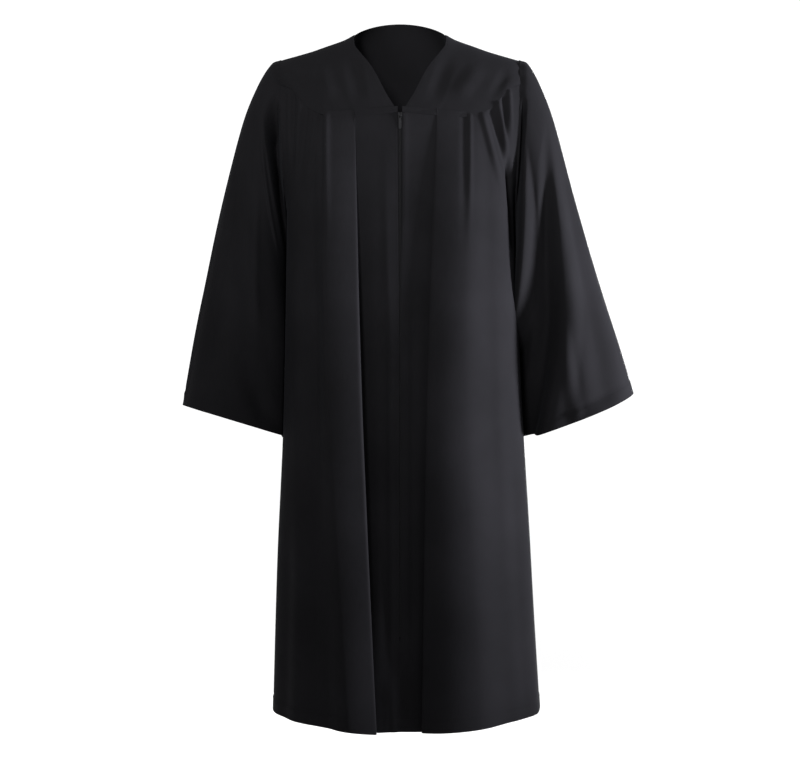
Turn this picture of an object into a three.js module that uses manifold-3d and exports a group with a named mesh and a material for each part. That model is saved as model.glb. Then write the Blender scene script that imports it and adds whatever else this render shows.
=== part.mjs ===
// Graduation gown of plain matte black cloth: a V neck, a yoke, pleated fronts with a zip,
// a fluted back and two bell sleeves, standing hollow in its worn form.
// Millimetres, +Z up, +X to the viewer's right. The front faces -Y.
// The origin is the centre of the neck opening, level with the tops of the shoulder seams.
// Left and right are the viewer's, and "across" is a distance from the centre line of a panel.
import * as THREE from "three";
import { mergeVertices } from "three/addons/utils/BufferGeometryUtils.js";
import Module from "manifold-3d";

// Cloth and seams
const CLOTH_WALL = 1.6;
const SEAM_GAP = 0.3;
const HALF_GAP = SEAM_GAP / 2;
const YOKE_SEAM_GAP = 0.8;
const SLEEVE_CLEAR = 1.2;

// Sides and faces of the gown, as signs of X and Y
const LEFT = -1;
const RIGHT = 1;
const FRONT = -1;
const BACK = 1;
const QUARTER_TURN = Math.PI / 2;
const FULL_TURN_DEGREES = 360;

// A small turn, in radians, over which the direction of a section is measured
const ANGLE_NUDGE = 0.02;

// Body: half-widths and depths of the section at each height
// (a power of 2 is an ellipse, and a larger one is squarer)
const UNDERARM_Z = -330;
const BODY_SECTIONS = [
  { z: -40, left: 214, right: 214, front: 98, back: 96, power: 2.4 },
  { z: -161, left: 212, right: 212, front: 118, back: 110, power: 2.4 },
  { z: UNDERARM_Z, left: 208, right: 208, front: 130, back: 122, power: 3 },
  { z: -550, left: 211, right: 217, front: 141, back: 128, power: 2.7 },
  { z: -747, left: 216, right: 227, front: 152, back: 140, power: 2.5 },
  { z: -970, left: 226, right: 240, front: 165, back: 158, power: 2.4 },
  { z: -1260, left: 234, right: 257, front: 178, back: 172, power: 2.4 },
];

// Hem: lowest under the flutes, a little higher at the centre lines and the side seams
const HEM_Z = -1254;
const HEM_SIDE_LIFT = { [LEFT]: 16, [RIGHT]: 26 };
const HEM_CENTRE_LIFT = 4;
const HEM_CENTRE_SHARE = 0.3;

// Armhole: an upright oval in a nearly vertical plane
const ARMHOLE_TOP = { x: 220, z: -47 };
const ARMHOLE_BOTTOM = { x: 208, z: UNDERARM_Z };
const ARMHOLE_DEPTH = { [FRONT]: 75, [BACK]: 82 };
const ARMHOLE_MIDDLE_Z = (ARMHOLE_TOP.z + ARMHOLE_BOTTOM.z) / 2;
const ARMHOLE_HALF_HEIGHT = (ARMHOLE_TOP.z - ARMHOLE_BOTTOM.z) / 2;

// Shoulder seam, from the side neck to the armhole
const SIDE_NECK_X = 84;
const SHOULDER_SEAM = [
  { x: SIDE_NECK_X, z: 1 },
  { x: 100, z: -8 },
  { x: 115, z: -14 },
  { x: 135, z: -21 },
  { x: 160, z: -30 },
  { x: 187, z: -38 },
  { x: ARMHOLE_TOP.x, z: ARMHOLE_TOP.z },
];

// Neck: the V edge by its share of the way down the yoke, and the arch at the back
const ZIP_SLIT_HALF = 4;
const V_NECK_EDGE = [
  { down: 0, x: SIDE_NECK_X },
  { down: 0.4, x: 83 },
  { down: 0.53, x: 71 },
  { down: 0.68, x: 50 },
  { down: 0.87, x: 26 },
  { down: 0.97, x: 9 },
  { down: 1, x: ZIP_SLIT_HALF },
];
const BACK_NECK_Y = 75;
const BACK_NECK_RISE = 37;
const BACK_NECK_RISE_POWER = 1.3;
const BACK_NECK_SHARE = 0.62;
const BACK_NECK_DROP_POWER = 1.25;
const YOKE_DROP_POWER = 2;

// Yoke seams, by the distance from the centre line
const FRONT_YOKE_SEAM = [
  { x: 0, z: -161 },
  { x: 60, z: -166 },
  { x: 120, z: -169 },
  { x: 150, z: -159 },
  { x: 172, z: -142 },
  { x: 195, z: -114 },
  { x: 218, z: -101 },
];
const BACK_YOKE_SEAM = [
  { x: 0, z: -128 },
  { x: 120, z: -126 },
  { x: 218, z: -118 },
];

// Zip: its opening runs down the centre front, and the fronts are sewn together below it
const ZIP_TOP_Z = -161;
const ZIP_END_Z = -1085;
const ZIP_CLOSES_OVER = 10;

// Folds hang from the yoke seams. Each row is a ridge or a valley that runs the length of a panel:
// its distance across at the yoke, half-way down and at the hem, how far it stands out,
// and the number of columns to the next row.
const FOLD_TOP_Z = ZIP_TOP_Z;
const FOLD_MIDDLE_Z = -640;
const FRONT_FOLDS = {
  [LEFT]: [
    { name: "centre panel", top: 34, middle: 26, hem: 24, rise: 0, columns: 1 },
    { name: "under the pleat", top: 70, middle: 52, hem: 48, rise: 1, columns: 1 },
    { name: "pleat edge", top: 73, middle: 48, hem: 42, rise: 14, columns: 3 },
    { name: "flute ridge", top: 131, middle: 104, hem: 84, rise: 27, columns: 3 },
    { name: "side hollow", top: 158, middle: 150, hem: 146, rise: 7, columns: 1 },
  ],
  [RIGHT]: [
    { name: "centre panel", top: 32, middle: 22, hem: 20, rise: 0, columns: 1 },
    { name: "under the pleat", top: 63, middle: 40, hem: 39, rise: 1, columns: 1 },
    { name: "pleat edge", top: 66, middle: 36, hem: 33, rise: 11, columns: 3 },
    { name: "flute ridge", top: 124, middle: 102, hem: 128, rise: 25, columns: 3 },
    { name: "side hollow", top: 156, middle: 156, hem: 186, rise: 9, columns: 1 },
  ],
};
const BACK_FOLDS = [
  { name: "left side hollow", top: -172, middle: -172, hem: -184, rise: 3, columns: 2 },
  { name: "ridge 1", top: -150, middle: -148, hem: -152, rise: 18, columns: 2 },
  { name: "hollow 1", top: -126, middle: -122, hem: -126, rise: 2, columns: 2 },
  { name: "ridge 2", top: -104, middle: -94, hem: -96, rise: 22, columns: 2 },
  { name: "hollow 2", top: -80, middle: -70, hem: -74, rise: 1, columns: 2 },
  { name: "ridge 3", top: -56, middle: -44, hem: -46, rise: 20, columns: 2 },
  { name: "hollow 3", top: -30, middle: -20, hem: -22, rise: 0, columns: 2 },
  { name: "ridge 4", top: -4, middle: 6, hem: 4, rise: 17, columns: 2 },
  { name: "hollow 4", top: 22, middle: 30, hem: 30, rise: 1, columns: 2 },
  { name: "ridge 5", top: 48, middle: 54, hem: 58, rise: 21, columns: 2 },
  { name: "hollow 5", top: 74, middle: 78, hem: 84, rise: 1, columns: 2 },
  { name: "ridge 6", top: 100, middle: 102, hem: 112, rise: 23, columns: 2 },
  { name: "hollow 6", top: 124, middle: 126, hem: 138, rise: 2, columns: 2 },
  { name: "ridge 7", top: 150, middle: 152, hem: 166, rise: 17, columns: 2 },
  { name: "right side hollow", top: 172, middle: 176, hem: 196, rise: 3, columns: 2 },
];
const FOLD_AT_SEAM = 0.12;
const FOLD_GROWS_OVER = 110;
const FOLD_EXTRA_AT_HEM = 0.25;

// Gathers at the armhole end of the front yoke seam
const GATHER_COLUMNS = 8;
const GATHER_RISE = 4;
const GATHER_HOLLOW = -0.4;
const GATHER_LENGTH = 140;

// Columns that carry a back panel round its side
const BACK_SIDE_COLUMNS = 5;

// Rows of the panels: yoke seam to underarm, underarm to zip end, zip end to hem
const UPPER_ROWS = 6;
const MIDDLE_ROWS = 8;
const LOWER_ROWS = 3;
const YOKE_ROWS = 6;

// Sleeves: each row is a ring, from the armhole to the hem. "outer" is the ring's outer edge,
// "tuck" is how far its inner edge lies back along the body's side.
const SLEEVE_RINGS = {
  [LEFT]: [
    { along: 0, outer: 220, outerZ: -47, innerZ: -330, tuck: 0, front: 75, back: 82 },
    { along: 0.05, outer: 237, outerZ: -53, innerZ: -356, tuck: 8, front: 83, back: 88 },
    { along: 0.13, outer: 261, outerZ: -90, innerZ: -392, tuck: 16, front: 88, back: 92 },
    { along: 0.26, outer: 290, outerZ: -166, innerZ: -450, tuck: 24, front: 94, back: 97 },
    { along: 0.5, outer: 328, outerZ: -328, innerZ: -548, tuck: 30, front: 102, back: 104 },
    { along: 0.75, outer: 367, outerZ: -508, innerZ: -646, tuck: 32, front: 109, back: 111 },
    { along: 1, outer: 401, outerZ: -683, innerZ: -741, tuck: 32, front: 115, back: 118 },
  ],
  [RIGHT]: [
    { along: 0, outer: 220, outerZ: -47, innerZ: -330, tuck: 0, front: 75, back: 82 },
    { along: 0.05, outer: 236, outerZ: -53, innerZ: -356, tuck: 8, front: 83, back: 88 },
    { along: 0.13, outer: 257, outerZ: -90, innerZ: -392, tuck: 16, front: 88, back: 92 },
    { along: 0.26, outer: 285, outerZ: -166, innerZ: -450, tuck: 24, front: 94, back: 97 },
    { along: 0.5, outer: 329, outerZ: -325, innerZ: -548, tuck: 30, front: 103, back: 104 },
    { along: 0.75, outer: 380, outerZ: -497, innerZ: -646, tuck: 32, front: 111, back: 111 },
    { along: 1, outer: 429, outerZ: -660, innerZ: -741, tuck: 32, front: 118, back: 118 },
  ],
};
const SLEEVE_ROWS = 13;
const SLEEVE_COLUMNS = 24;
const SLEEVE_ROW_POWER = 1.35;
const SLEEVE_HEM_DROOP = { [LEFT]: -5, [RIGHT]: 7 };
const SLEEVE_DROOP_POWER = 3;

// Sleeve folds: the place of each round the ring at the head and at the hem, in degrees from the
// outer edge towards the front, how far it stands out (a hollow is negative) and its half-width.
const SLEEVE_FOLDS = {
  [LEFT]: [
    { head: 60, hem: 148, rise: -15, spread: 30 },
    { head: 20, hem: 92, rise: 7, spread: 32 },
    { head: 300, hem: 220, rise: -14, spread: 30 },
    { head: 335, hem: 280, rise: 8, spread: 34 },
  ],
  [RIGHT]: [
    { head: 84, hem: 156, rise: -15, spread: 30 },
    { head: 48, hem: 116, rise: 9, spread: 30 },
    { head: 290, hem: 214, rise: -14, spread: 30 },
    { head: 325, hem: 268, rise: 8, spread: 34 },
  ],
};
const SLEEVE_FOLD_START = 0.06;
const SLEEVE_FOLD_FULL = 0.4;

// Zip tapes with the chain bead along their inner edges
const TAPE_WALL = 0.8;
const TAPE_CLEAR = 0.5;
const TAPE_WIDTH = 13;
const TAPE_BELOW_TOP = 4.4;
const TAPE_TOP_Z = ZIP_TOP_Z - TAPE_BELOW_TOP;
const BEAD_INNER = 0.25;
const BEAD_OUTER = 2.3;
const BEAD_STEP = 0.5;
const BEAD_PROUD = 1.2;

// Zip slider and pull tab
const SLIDER = { halfWidth: 3.4, length: 12, plate: 1.2, clear: 0.8, postHalf: 0.9, postLength: 2.6 };
const CROWN = { halfWidth: 1, foot: 1.2, innerHeight: 2.4, bar: 1.1, footCentre: 2.4, belowTop: 6.2 };
const PULL = { halfWidth: 2.6, length: 24, thickness: 1.2, holeHalf: 1.6, holeStart: 0.7, holeEnd: 4.4 };
const PULL_CORNER_SEGMENTS = 5;

// Materials
const CLOTH = { color: 0x1a1a1c, roughness: 0.92, metalness: 0 };
const TAPE = { color: 0x131315, roughness: 0.85, metalness: 0 };
const ZIP_METAL = { color: 0x3a3a3e, roughness: 0.4, metalness: 0.9 };

// A value from a table, smooth between its rows
function along(table, by, want, at) {
  const ascending = table[0][by] < table[table.length - 1][by];
  const rows = ascending ? table : [...table].reverse();
  const last = rows.length - 1;
  const place = Math.min(Math.max(at, rows[0][by]), rows[last][by]);
  let i = 0;
  while (i < last - 1 && place > rows[i + 1][by]) i += 1;
  const slope = (k) => {
    const low = Math.max(k - 1, 0);
    const high = Math.min(k + 1, last);
    return (rows[high][want] - rows[low][want]) / (rows[high][by] - rows[low][by]);
  };
  const step = rows[i + 1][by] - rows[i][by];
  const u = (place - rows[i][by]) / step;
  const rise = smooth(u);
  const start = rows[i][want] * (1 - rise) + rows[i + 1][want] * rise;
  const bend = slope(i) * u * (1 - u) * (1 - u) - slope(i + 1) * u * u * (1 - u);
  return start + bend * step;
}

function smooth(share) {
  const u = THREE.MathUtils.clamp(share, 0, 1);
  return u * u * (3 - 2 * u);
}

function mix(a, b, share) {
  return a + (b - a) * share;
}

const sideName = (side) => (side === LEFT ? "left" : "right");
const faceName = (face) => (face === FRONT ? "front" : "back");

// The armhole's plane, as a distance from the centre plane
function armholeX(z) {
  const share = (ARMHOLE_TOP.z - z) / (ARMHOLE_TOP.z - ARMHOLE_BOTTOM.z);
  return mix(ARMHOLE_TOP.x, ARMHOLE_BOTTOM.x, share);
}

// Half the armhole's opening, front or back of the shoulder
function armholeDepth(face, z) {
  const u = (z - ARMHOLE_MIDDLE_Z) / ARMHOLE_HALF_HEIGHT;
  return ARMHOLE_DEPTH[face] * Math.sqrt(Math.max(1 - u * u, 0));
}

// The section at a height: its half-width and depth, and the angle where it ends,
// at the armhole edge above the underarm and at the side seam below it
function section(side, face, z) {
  const depth = along(BODY_SECTIONS, "z", faceName(face), z);
  const power = along(BODY_SECTIONS, "z", "power", z);
  if (z <= UNDERARM_Z) {
    return { width: along(BODY_SECTIONS, "z", sideName(side), z), depth, power, end: QUARTER_TURN };
  }
  const cut = (armholeDepth(face, z) / depth) ** power;
  const width = (armholeX(z) - HALF_GAP) / (1 - cut) ** (1 / power);
  return { width, depth, power, end: Math.asin(Math.sqrt(1 - cut)) };
}

// A point of the plain body, before its folds. The angle runs from the centre line to the side.
function bodyPoint(side, face, angle, z) {
  const { width, depth, power } = section(side, face, z);
  const x = width * Math.sin(angle) ** (2 / power);
  const y = depth * Math.max(Math.cos(angle), 0) ** (2 / power);
  return new THREE.Vector3(side * x, face * Math.max(y, HALF_GAP), z);
}

// The angle at which the plain body is this far across
function angleAt(side, face, across, z) {
  const { width, power } = section(side, face, z);
  return Math.asin(Math.min(across / width, 1) ** (power / 2));
}

// The direction that a fold stands out in: square to the plain section, level
function outward(side, face, angle, z) {
  const from = bodyPoint(side, face, Math.max(angle - ANGLE_NUDGE, 0), z);
  const run = bodyPoint(side, face, Math.min(angle + ANGLE_NUDGE, QUARTER_TURN), z).sub(from);
  return new THREE.Vector3(side * Math.abs(run.y), face * Math.abs(run.x), 0).normalize();
}

function foldAcross(fold, z) {
  const rows = [
    { z: FOLD_TOP_Z, across: fold.top },
    { z: FOLD_MIDDLE_Z, across: fold.middle },
    { z: HEM_Z, across: fold.hem },
  ];
  return along(rows, "z", "across", z);
}

// How much of its full rise a fold has at a height
function foldGrowth(seamZ, z) {
  const grown = mix(1, FOLD_AT_SEAM, Math.exp((z - seamZ) / FOLD_GROWS_OVER));
  return grown * (1 + FOLD_EXTRA_AT_HEM * smooth((seamZ - z) / (seamZ - HEM_Z)));
}

// The columns between two folds: distances across and rises, without the second fold itself
function columnsBetween(fold, next, z) {
  const count = fold.columns;
  return Array.from({ length: count }, (_, k) => ({
    across: mix(foldAcross(fold, z), foldAcross(next, z), k / count),
    rise: mix(fold.rise, next.rise, smooth(k / count)),
    gather: 0,
  }));
}

// Gathers stand out on every other column between the last fold and the side
function gatherAt(k, count) {
  if (k === 0 || k === count) return 0;
  return k % 2 ? 1 : GATHER_HOLLOW;
}

// The columns from the last fold round to the side seam or the armhole
function columnsToSide(side, face, fold, count, z) {
  const start = angleAt(side, face, Math.abs(foldAcross(fold, z)), z);
  return Array.from({ length: count + 1 }, (_, k) => ({
    angle: mix(start, section(side, face, z).end, k / count),
    rise: fold.rise * (1 - smooth(k / count)),
    gather: gatherAt(k, count),
  }));
}

// All columns of a front panel at a height, from the zip edge to the side
function frontColumns(side, z) {
  const folds = FRONT_FOLDS[side];
  const edge = z >= ZIP_END_Z ? ZIP_SLIT_HALF : HALF_GAP;
  const columns = [{ across: edge, rise: 0, gather: 0 }];
  folds.slice(0, -1).forEach((fold, k) => columns.push(...columnsBetween(fold, folds[k + 1], z)));
  columns.push(...columnsToSide(side, FRONT, folds[folds.length - 1], GATHER_COLUMNS, z));
  return columns.map((column) => ({
    ...column,
    side,
    angle: column.angle ?? angleAt(side, FRONT, column.across, z),
  }));
}

// All columns of the back panel at a height, from the left side to the right
function backColumns(z) {
  const folds = BACK_FOLDS;
  const first = folds[0];
  const last = folds[folds.length - 1];
  const leftSide = columnsToSide(LEFT, BACK, first, BACK_SIDE_COLUMNS, z).slice(1).reverse();
  const rightSide = columnsToSide(RIGHT, BACK, last, BACK_SIDE_COLUMNS, z);
  const middle = folds.slice(0, -1).flatMap((fold, k) => columnsBetween(fold, folds[k + 1], z));
  const placed = middle.map((column) => {
    const side = column.across < 0 ? LEFT : RIGHT;
    return { ...column, side, angle: angleAt(side, BACK, Math.abs(column.across), z) };
  });
  return [
    ...leftSide.map((column) => ({ ...column, side: LEFT })),
    ...placed,
    ...rightSide.map((column) => ({ ...column, side: RIGHT })),
  ];
}

// The height of a panel's row: its seam, then the underarm, then the zip's end, then the hem
function rowHeight(row, seamZ, hemZ) {
  if (row <= UPPER_ROWS) {
    return mix(seamZ, UNDERARM_Z, Math.sin((row / UPPER_ROWS) * QUARTER_TURN));
  }
  if (row <= UPPER_ROWS + MIDDLE_ROWS) {
    return mix(UNDERARM_Z, ZIP_END_Z, (row - UPPER_ROWS) / MIDDLE_ROWS);
  }
  const sewnRow = row - UPPER_ROWS - MIDDLE_ROWS - 1;
  return mix(ZIP_END_Z - ZIP_CLOSES_OVER, hemZ, sewnRow / (LOWER_ROWS - 1));
}

const PANEL_ROWS = UPPER_ROWS + MIDDLE_ROWS + LOWER_ROWS;

// A body panel below its yoke: the grid of its outer face, and the seam points its yoke ends on
function bodyPanel(face, seamTable, columnsAt) {
  const topColumns = columnsAt(FOLD_TOP_Z);
  const seam = topColumns.map((column) => {
    const x = Math.abs(bodyPoint(column.side, face, column.angle, FOLD_TOP_Z).x);
    const z = along(seamTable, "x", "z", x);
    const sideShare = column.angle / section(column.side, face, FOLD_TOP_Z).end;
    const centreLift = HEM_CENTRE_LIFT * (1 - smooth(sideShare / HEM_CENTRE_SHARE));
    return { z, hemZ: HEM_Z + centreLift + HEM_SIDE_LIFT[column.side] * smooth(sideShare) };
  });
  const grid = [];
  for (let row = 0; row <= PANEL_ROWS; row += 1) {
    grid.push(
      seam.map(({ z: seamZ, hemZ }, k) => {
        const z = rowHeight(row, seamZ, hemZ) - (row === 0 ? YOKE_SEAM_GAP / 2 : 0);
        const column = columnsAt(z)[k];
        const fade = 1 - smooth((seamZ - z) / GATHER_LENGTH);
        const point = bodyPoint(column.side, face, column.angle, z);
        const out = outward(column.side, face, column.angle, z);
        point.addScaledVector(out, column.rise * foldGrowth(seamZ, z));
        point.y += face * GATHER_RISE * column.gather * fade * (row === 0 ? FOLD_AT_SEAM : 1);
        return point;
      }),
    );
  }
  const seamPoints = seam.map(({ z }, k) => {
    const column = columnsAt(z)[k];
    return bodyPoint(column.side, face, column.angle, z);
  });
  return { grid, seamPoints };
}

// The way a yoke curves forward or back as it drops, which meets the armhole's oval at its end
function yokeCurve(q, roundness) {
  return q * Math.sqrt((2 - roundness * q * q) / (2 - roundness));
}

// The outer face of one front yoke, from the V edge to the armhole, shoulder to yoke seam
function frontYoke(side, seamPoints) {
  const grid = [];
  for (let row = 0; row <= YOKE_ROWS; row += 1) {
    const q = row / YOKE_ROWS;
    const neckX = along(V_NECK_EDGE, "down", "x", q);
    grid.push(
      seamPoints.map((bottom) => {
        const end = armholeX(bottom.z) - HALF_GAP;
        const share = (Math.abs(bottom.x) - ZIP_SLIT_HALF) / (end - ZIP_SLIT_HALF);
        const topZ = along(SHOULDER_SEAM, "x", "z", mix(SIDE_NECK_X, ARMHOLE_TOP.x, share));
        const drop = topZ - bottom.z - YOKE_SEAM_GAP / 2;
        const z = topZ - drop * q ** YOKE_DROP_POWER;
        const roundness = (share * drop) / ARMHOLE_HALF_HEIGHT;
        const x = mix(neckX, armholeX(z) - HALF_GAP, share);
        const y = mix(HALF_GAP, Math.abs(bottom.y), yokeCurve(q, roundness));
        return new THREE.Vector3(side * x, FRONT * y, z);
      }),
    );
  }
  return grid;
}

// A point of the back yoke's upper edge: the neck arch, then the shoulder seam
function backYokeTop(share) {
  if (share < BACK_NECK_SHARE) {
    const turn = (share / BACK_NECK_SHARE) * QUARTER_TURN;
    return {
      x: SIDE_NECK_X * Math.sin(turn),
      y: mix(HALF_GAP, BACK_NECK_Y, Math.cos(turn)),
      z: SHOULDER_SEAM[0].z + BACK_NECK_RISE * Math.cos(turn) ** BACK_NECK_RISE_POWER,
    };
  }
  const out = (share - BACK_NECK_SHARE) / (1 - BACK_NECK_SHARE);
  const x = mix(SIDE_NECK_X, ARMHOLE_TOP.x - HALF_GAP, out);
  return { x, y: HALF_GAP, z: along(SHOULDER_SEAM, "x", "z", x) };
}

// The outer face of the back yoke, from the left armhole to the right
function backYoke(seamPoints) {
  const grid = [];
  for (let row = 0; row <= YOKE_ROWS; row += 1) {
    const q = row / YOKE_ROWS;
    grid.push(
      seamPoints.map((bottom) => {
        const side = bottom.x < 0 ? LEFT : RIGHT;
        const share = Math.min(Math.abs(bottom.x) / (armholeX(bottom.z) - HALF_GAP), 1);
        const top = backYokeTop(share);
        const drop = top.z - bottom.z - YOKE_SEAM_GAP / 2;
        const power = mix(BACK_NECK_DROP_POWER, YOKE_DROP_POWER, smooth(share / BACK_NECK_SHARE));
        const fallen = q ** power;
        const roundness = (share * drop) / ARMHOLE_HALF_HEIGHT;
        const x = mix(top.x, Math.abs(bottom.x), fallen);
        const y = mix(top.y, bottom.y, yokeCurve(q, roundness));
        return new THREE.Vector3(side * x, y, top.z - drop * fallen);
      }),
    );
  }
  return grid;
}

// Half the width of the plain body at a height, at a depth in front of or behind its middle
function bodyHalfWidth(side, y, z) {
  const face = y < 0 ? FRONT : BACK;
  const share = Math.min(Math.abs(y) / along(BODY_SECTIONS, "z", faceName(face), z), 1);
  const width = along(BODY_SECTIONS, "z", sideName(side), z);
  const power = along(BODY_SECTIONS, "z", "power", z);
  return width * (1 - share ** power) ** (1 / power);
}

// How far a sleeve's folds move its face at a place round a ring
function sleeveFoldRise(side, place, turnDegrees) {
  const grown = smooth((place - SLEEVE_FOLD_START) / (SLEEVE_FOLD_FULL - SLEEVE_FOLD_START));
  return SLEEVE_FOLDS[side].reduce((sum, fold) => {
    const apart = Math.abs(turnDegrees - mix(fold.head, fold.hem, place));
    const near = Math.min(apart, FULL_TURN_DEGREES - apart) / fold.spread;
    return sum + fold.rise * grown * (1 - smooth(near));
  }, 0);
}

// The outer face of a sleeve, as rings from the armhole to the hem
function sleeveGrid(side) {
  const rings = SLEEVE_RINGS[side];
  const grid = [];
  for (let row = 0; row <= SLEEVE_ROWS; row += 1) {
    const place = (row / SLEEVE_ROWS) ** SLEEVE_ROW_POWER;
    const at = (want) => along(rings, "along", want, place);
    const innerX = Math.min(bodyHalfWidth(side, at("tuck"), at("innerZ")) + SLEEVE_CLEAR, at("outer"));
    const outer = new THREE.Vector3(at("outer"), 0, at("outerZ"));
    const inner = new THREE.Vector3(row === 0 ? ARMHOLE_BOTTOM.x : innerX, at("tuck"), at("innerZ"));
    const middle = outer.clone().add(inner).multiplyScalar(0.5);
    const half = outer.clone().sub(inner).multiplyScalar(0.5);
    const ring = [];
    for (let k = 0; k < SLEEVE_COLUMNS; k += 1) {
      const turn = (k / SLEEVE_COLUMNS) * 2 * Math.PI * -side;
      const frontness = Math.sin(turn);
      const depth = frontness > 0 ? at("front") : at("back");
      const turnDegrees = THREE.MathUtils.euclideanModulo(THREE.MathUtils.radToDeg(turn), FULL_TURN_DEGREES);
      const swell = 1 + sleeveFoldRise(side, place, turnDegrees) / depth;
      const point = middle.clone().addScaledVector(half, Math.cos(turn) * swell);
      point.y -= depth * frontness * swell;
      point.z -= SLEEVE_HEM_DROOP[side] * place ** SLEEVE_DROOP_POWER * Math.max(frontness, 0);
      point.x = Math.max(point.x, clearOfBody(side, point));
      ring.push(new THREE.Vector3(side * point.x, point.y, point.z));
    }
    grid.push(ring);
  }
  return grid;
}

// The least distance from the centre plane that keeps a sleeve point off the body
function clearOfBody(side, point) {
  if (point.z > UNDERARM_Z) return armholeX(point.z) + HALF_GAP;
  return bodyHalfWidth(side, point.y, point.z) + (point.z < UNDERARM_Z ? SLEEVE_CLEAR : SEAM_GAP);
}

// The way out of the cloth at each point of a grid whose rows run down and columns run to the right.
// At a seam the component across the seam is taken out, so that the two edges stay parallel.
function gridNormals(grid, closed, seams) {
  const lastRow = grid.length - 1;
  const lastColumn = grid[0].length - 1;
  const wrapped = (k) => (k + lastColumn + 1) % (lastColumn + 1);
  const columnAt = (k) => (closed ? wrapped(k) : Math.min(Math.max(k, 0), lastColumn));
  return grid.map((row, i) =>
    row.map((point, k) => {
      const down = grid[Math.min(i + 1, lastRow)][k].clone().sub(grid[Math.max(i - 1, 0)][k]);
      const across = row[columnAt(k + 1)].clone().sub(row[columnAt(k - 1)]);
      const normal = down.cross(across).normalize();
      const flatten = (seam) => {
        const direction = seam && seam(point);
        if (direction) normal.addScaledVector(direction, -normal.dot(direction)).normalize();
      };
      if (i === 0) flatten(seams.top);
      if (i === lastRow) flatten(seams.bottom);
      if (!closed && k === 0) flatten(seams.left);
      if (!closed && k === lastColumn) flatten(seams.right);
      return normal;
    }),
  );
}

// A closed solid between an outer and an inner grid of the same size
function solidBetween(outer, inner, closed) {
  const rows = outer.length;
  const columns = outer[0].length;
  const positions = [...outer.flat(), ...inner.flat()].flatMap((point) => point.toArray());
  const outerAt = (i, k) => i * columns + (k % columns);
  const innerAt = (i, k) => rows * columns + outerAt(i, k);
  const triangles = [];
  const quad = (a, b, c, d) => triangles.push(a, b, c, a, c, d);
  const spans = closed ? columns : columns - 1;
  const last = rows - 1;
  for (let i = 0; i < last; i += 1) {
    for (let k = 0; k < spans; k += 1) {
      quad(outerAt(i, k), outerAt(i + 1, k), outerAt(i + 1, k + 1), outerAt(i, k + 1));
      quad(innerAt(i, k + 1), innerAt(i + 1, k + 1), innerAt(i + 1, k), innerAt(i, k));
    }
    if (!closed) {
      quad(outerAt(i + 1, 0), outerAt(i, 0), innerAt(i, 0), innerAt(i + 1, 0));
      quad(outerAt(i, spans), outerAt(i + 1, spans), innerAt(i + 1, spans), innerAt(i, spans));
    }
  }
  for (let k = 0; k < spans; k += 1) {
    quad(outerAt(0, k), outerAt(0, k + 1), innerAt(0, k + 1), innerAt(0, k));
    quad(outerAt(last, k + 1), outerAt(last, k), innerAt(last, k), innerAt(last, k + 1));
  }
  const geometry = new THREE.BufferGeometry();
  geometry.setAttribute("position", new THREE.Float32BufferAttribute(positions, 3));
  geometry.setIndex(triangles);
  geometry.computeVertexNormals();
  return geometry;
}

// A wall of cloth behind an outer face
function clothWall(outer, { closed = false, seams = {} } = {}) {
  const normals = gridNormals(outer, closed, seams);
  const inset = (point, normal) => point.clone().addScaledVector(normal, -CLOTH_WALL);
  const inner = outer.map((row, i) => row.map((point, k) => inset(point, normals[i][k])));
  return solidBetween(outer, inner, closed);
}

const mirrored = (grid) => grid.map((row) => [...row].reverse());

// The direction across each kind of seam, at a point of it
const ALONG_X = new THREE.Vector3(1, 0, 0);
const ALONG_Y = new THREE.Vector3(0, 1, 0);
const ALONG_Z = new THREE.Vector3(0, 0, 1);
const yokeSeam = () => ALONG_Z;
const shoulderSeam = () => ALONG_Y;
const centreSeam = () => ALONG_X;
const armholeSeam = () => ALONG_X;
const sideSeam = (point) => (point.z > UNDERARM_Z ? null : ALONG_Y);

// One zip tape behind its front's edge. Its chain bead stands forward between the two edges.
function zipTape(side) {
  const heights = [TAPE_TOP_Z];
  for (let row = 1; row <= UPPER_ROWS + MIDDLE_ROWS; row += 1) {
    heights.push(rowHeight(row, ZIP_TOP_Z, HEM_Z));
  }
  const profile = [
    { x: BEAD_INNER, proud: BEAD_PROUD },
    { x: BEAD_OUTER, proud: BEAD_PROUD },
    { x: BEAD_OUTER + BEAD_STEP, proud: 0 },
    { x: TAPE_WIDTH, proud: 0 },
  ];
  const faceY = (z) => -along(BODY_SECTIONS, "z", "front", z) + CLOTH_WALL + TAPE_CLEAR;
  const frontAt = (z, { x, proud }) => new THREE.Vector3(side * x, faceY(z) - proud, z);
  const rearAt = (z, { x }) => new THREE.Vector3(side * x, faceY(z) + TAPE_WALL, z);
  const outer = heights.map((z) => profile.map((edge) => frontAt(z, edge)));
  const inner = heights.map((z) => profile.map((edge) => rearAt(z, edge)));
  if (side === RIGHT) return solidBetween(outer, inner, false);
  return solidBetween(mirrored(outer), mirrored(inner), false);
}

// Joining of closed geometries
const wasm = await Module();
wasm.setup();

function toManifold(geometry) {
  const bare = geometry.clone();
  bare.deleteAttribute("normal");
  bare.deleteAttribute("uv");
  const merged = mergeVertices(bare);
  return new wasm.Manifold(
    new wasm.Mesh({
      numProp: 3,
      vertProperties: merged.attributes.position.array,
      triVerts: new Uint32Array(merged.index.array),
    }),
  );
}

function fromManifold(solid) {
  const mesh = solid.getMesh();
  const geometry = new THREE.BufferGeometry();
  geometry.setAttribute("position", new THREE.Float32BufferAttribute(mesh.vertProperties, 3));
  geometry.setIndex([...mesh.triVerts]);
  geometry.computeVertexNormals();
  return geometry;
}

function blockBetween(low, high) {
  const size = high.map((value, axis) => value - low[axis]);
  const centre = high.map((value, axis) => (value + low[axis]) / 2);
  return new THREE.BoxGeometry(...size).translate(...centre);
}

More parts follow.
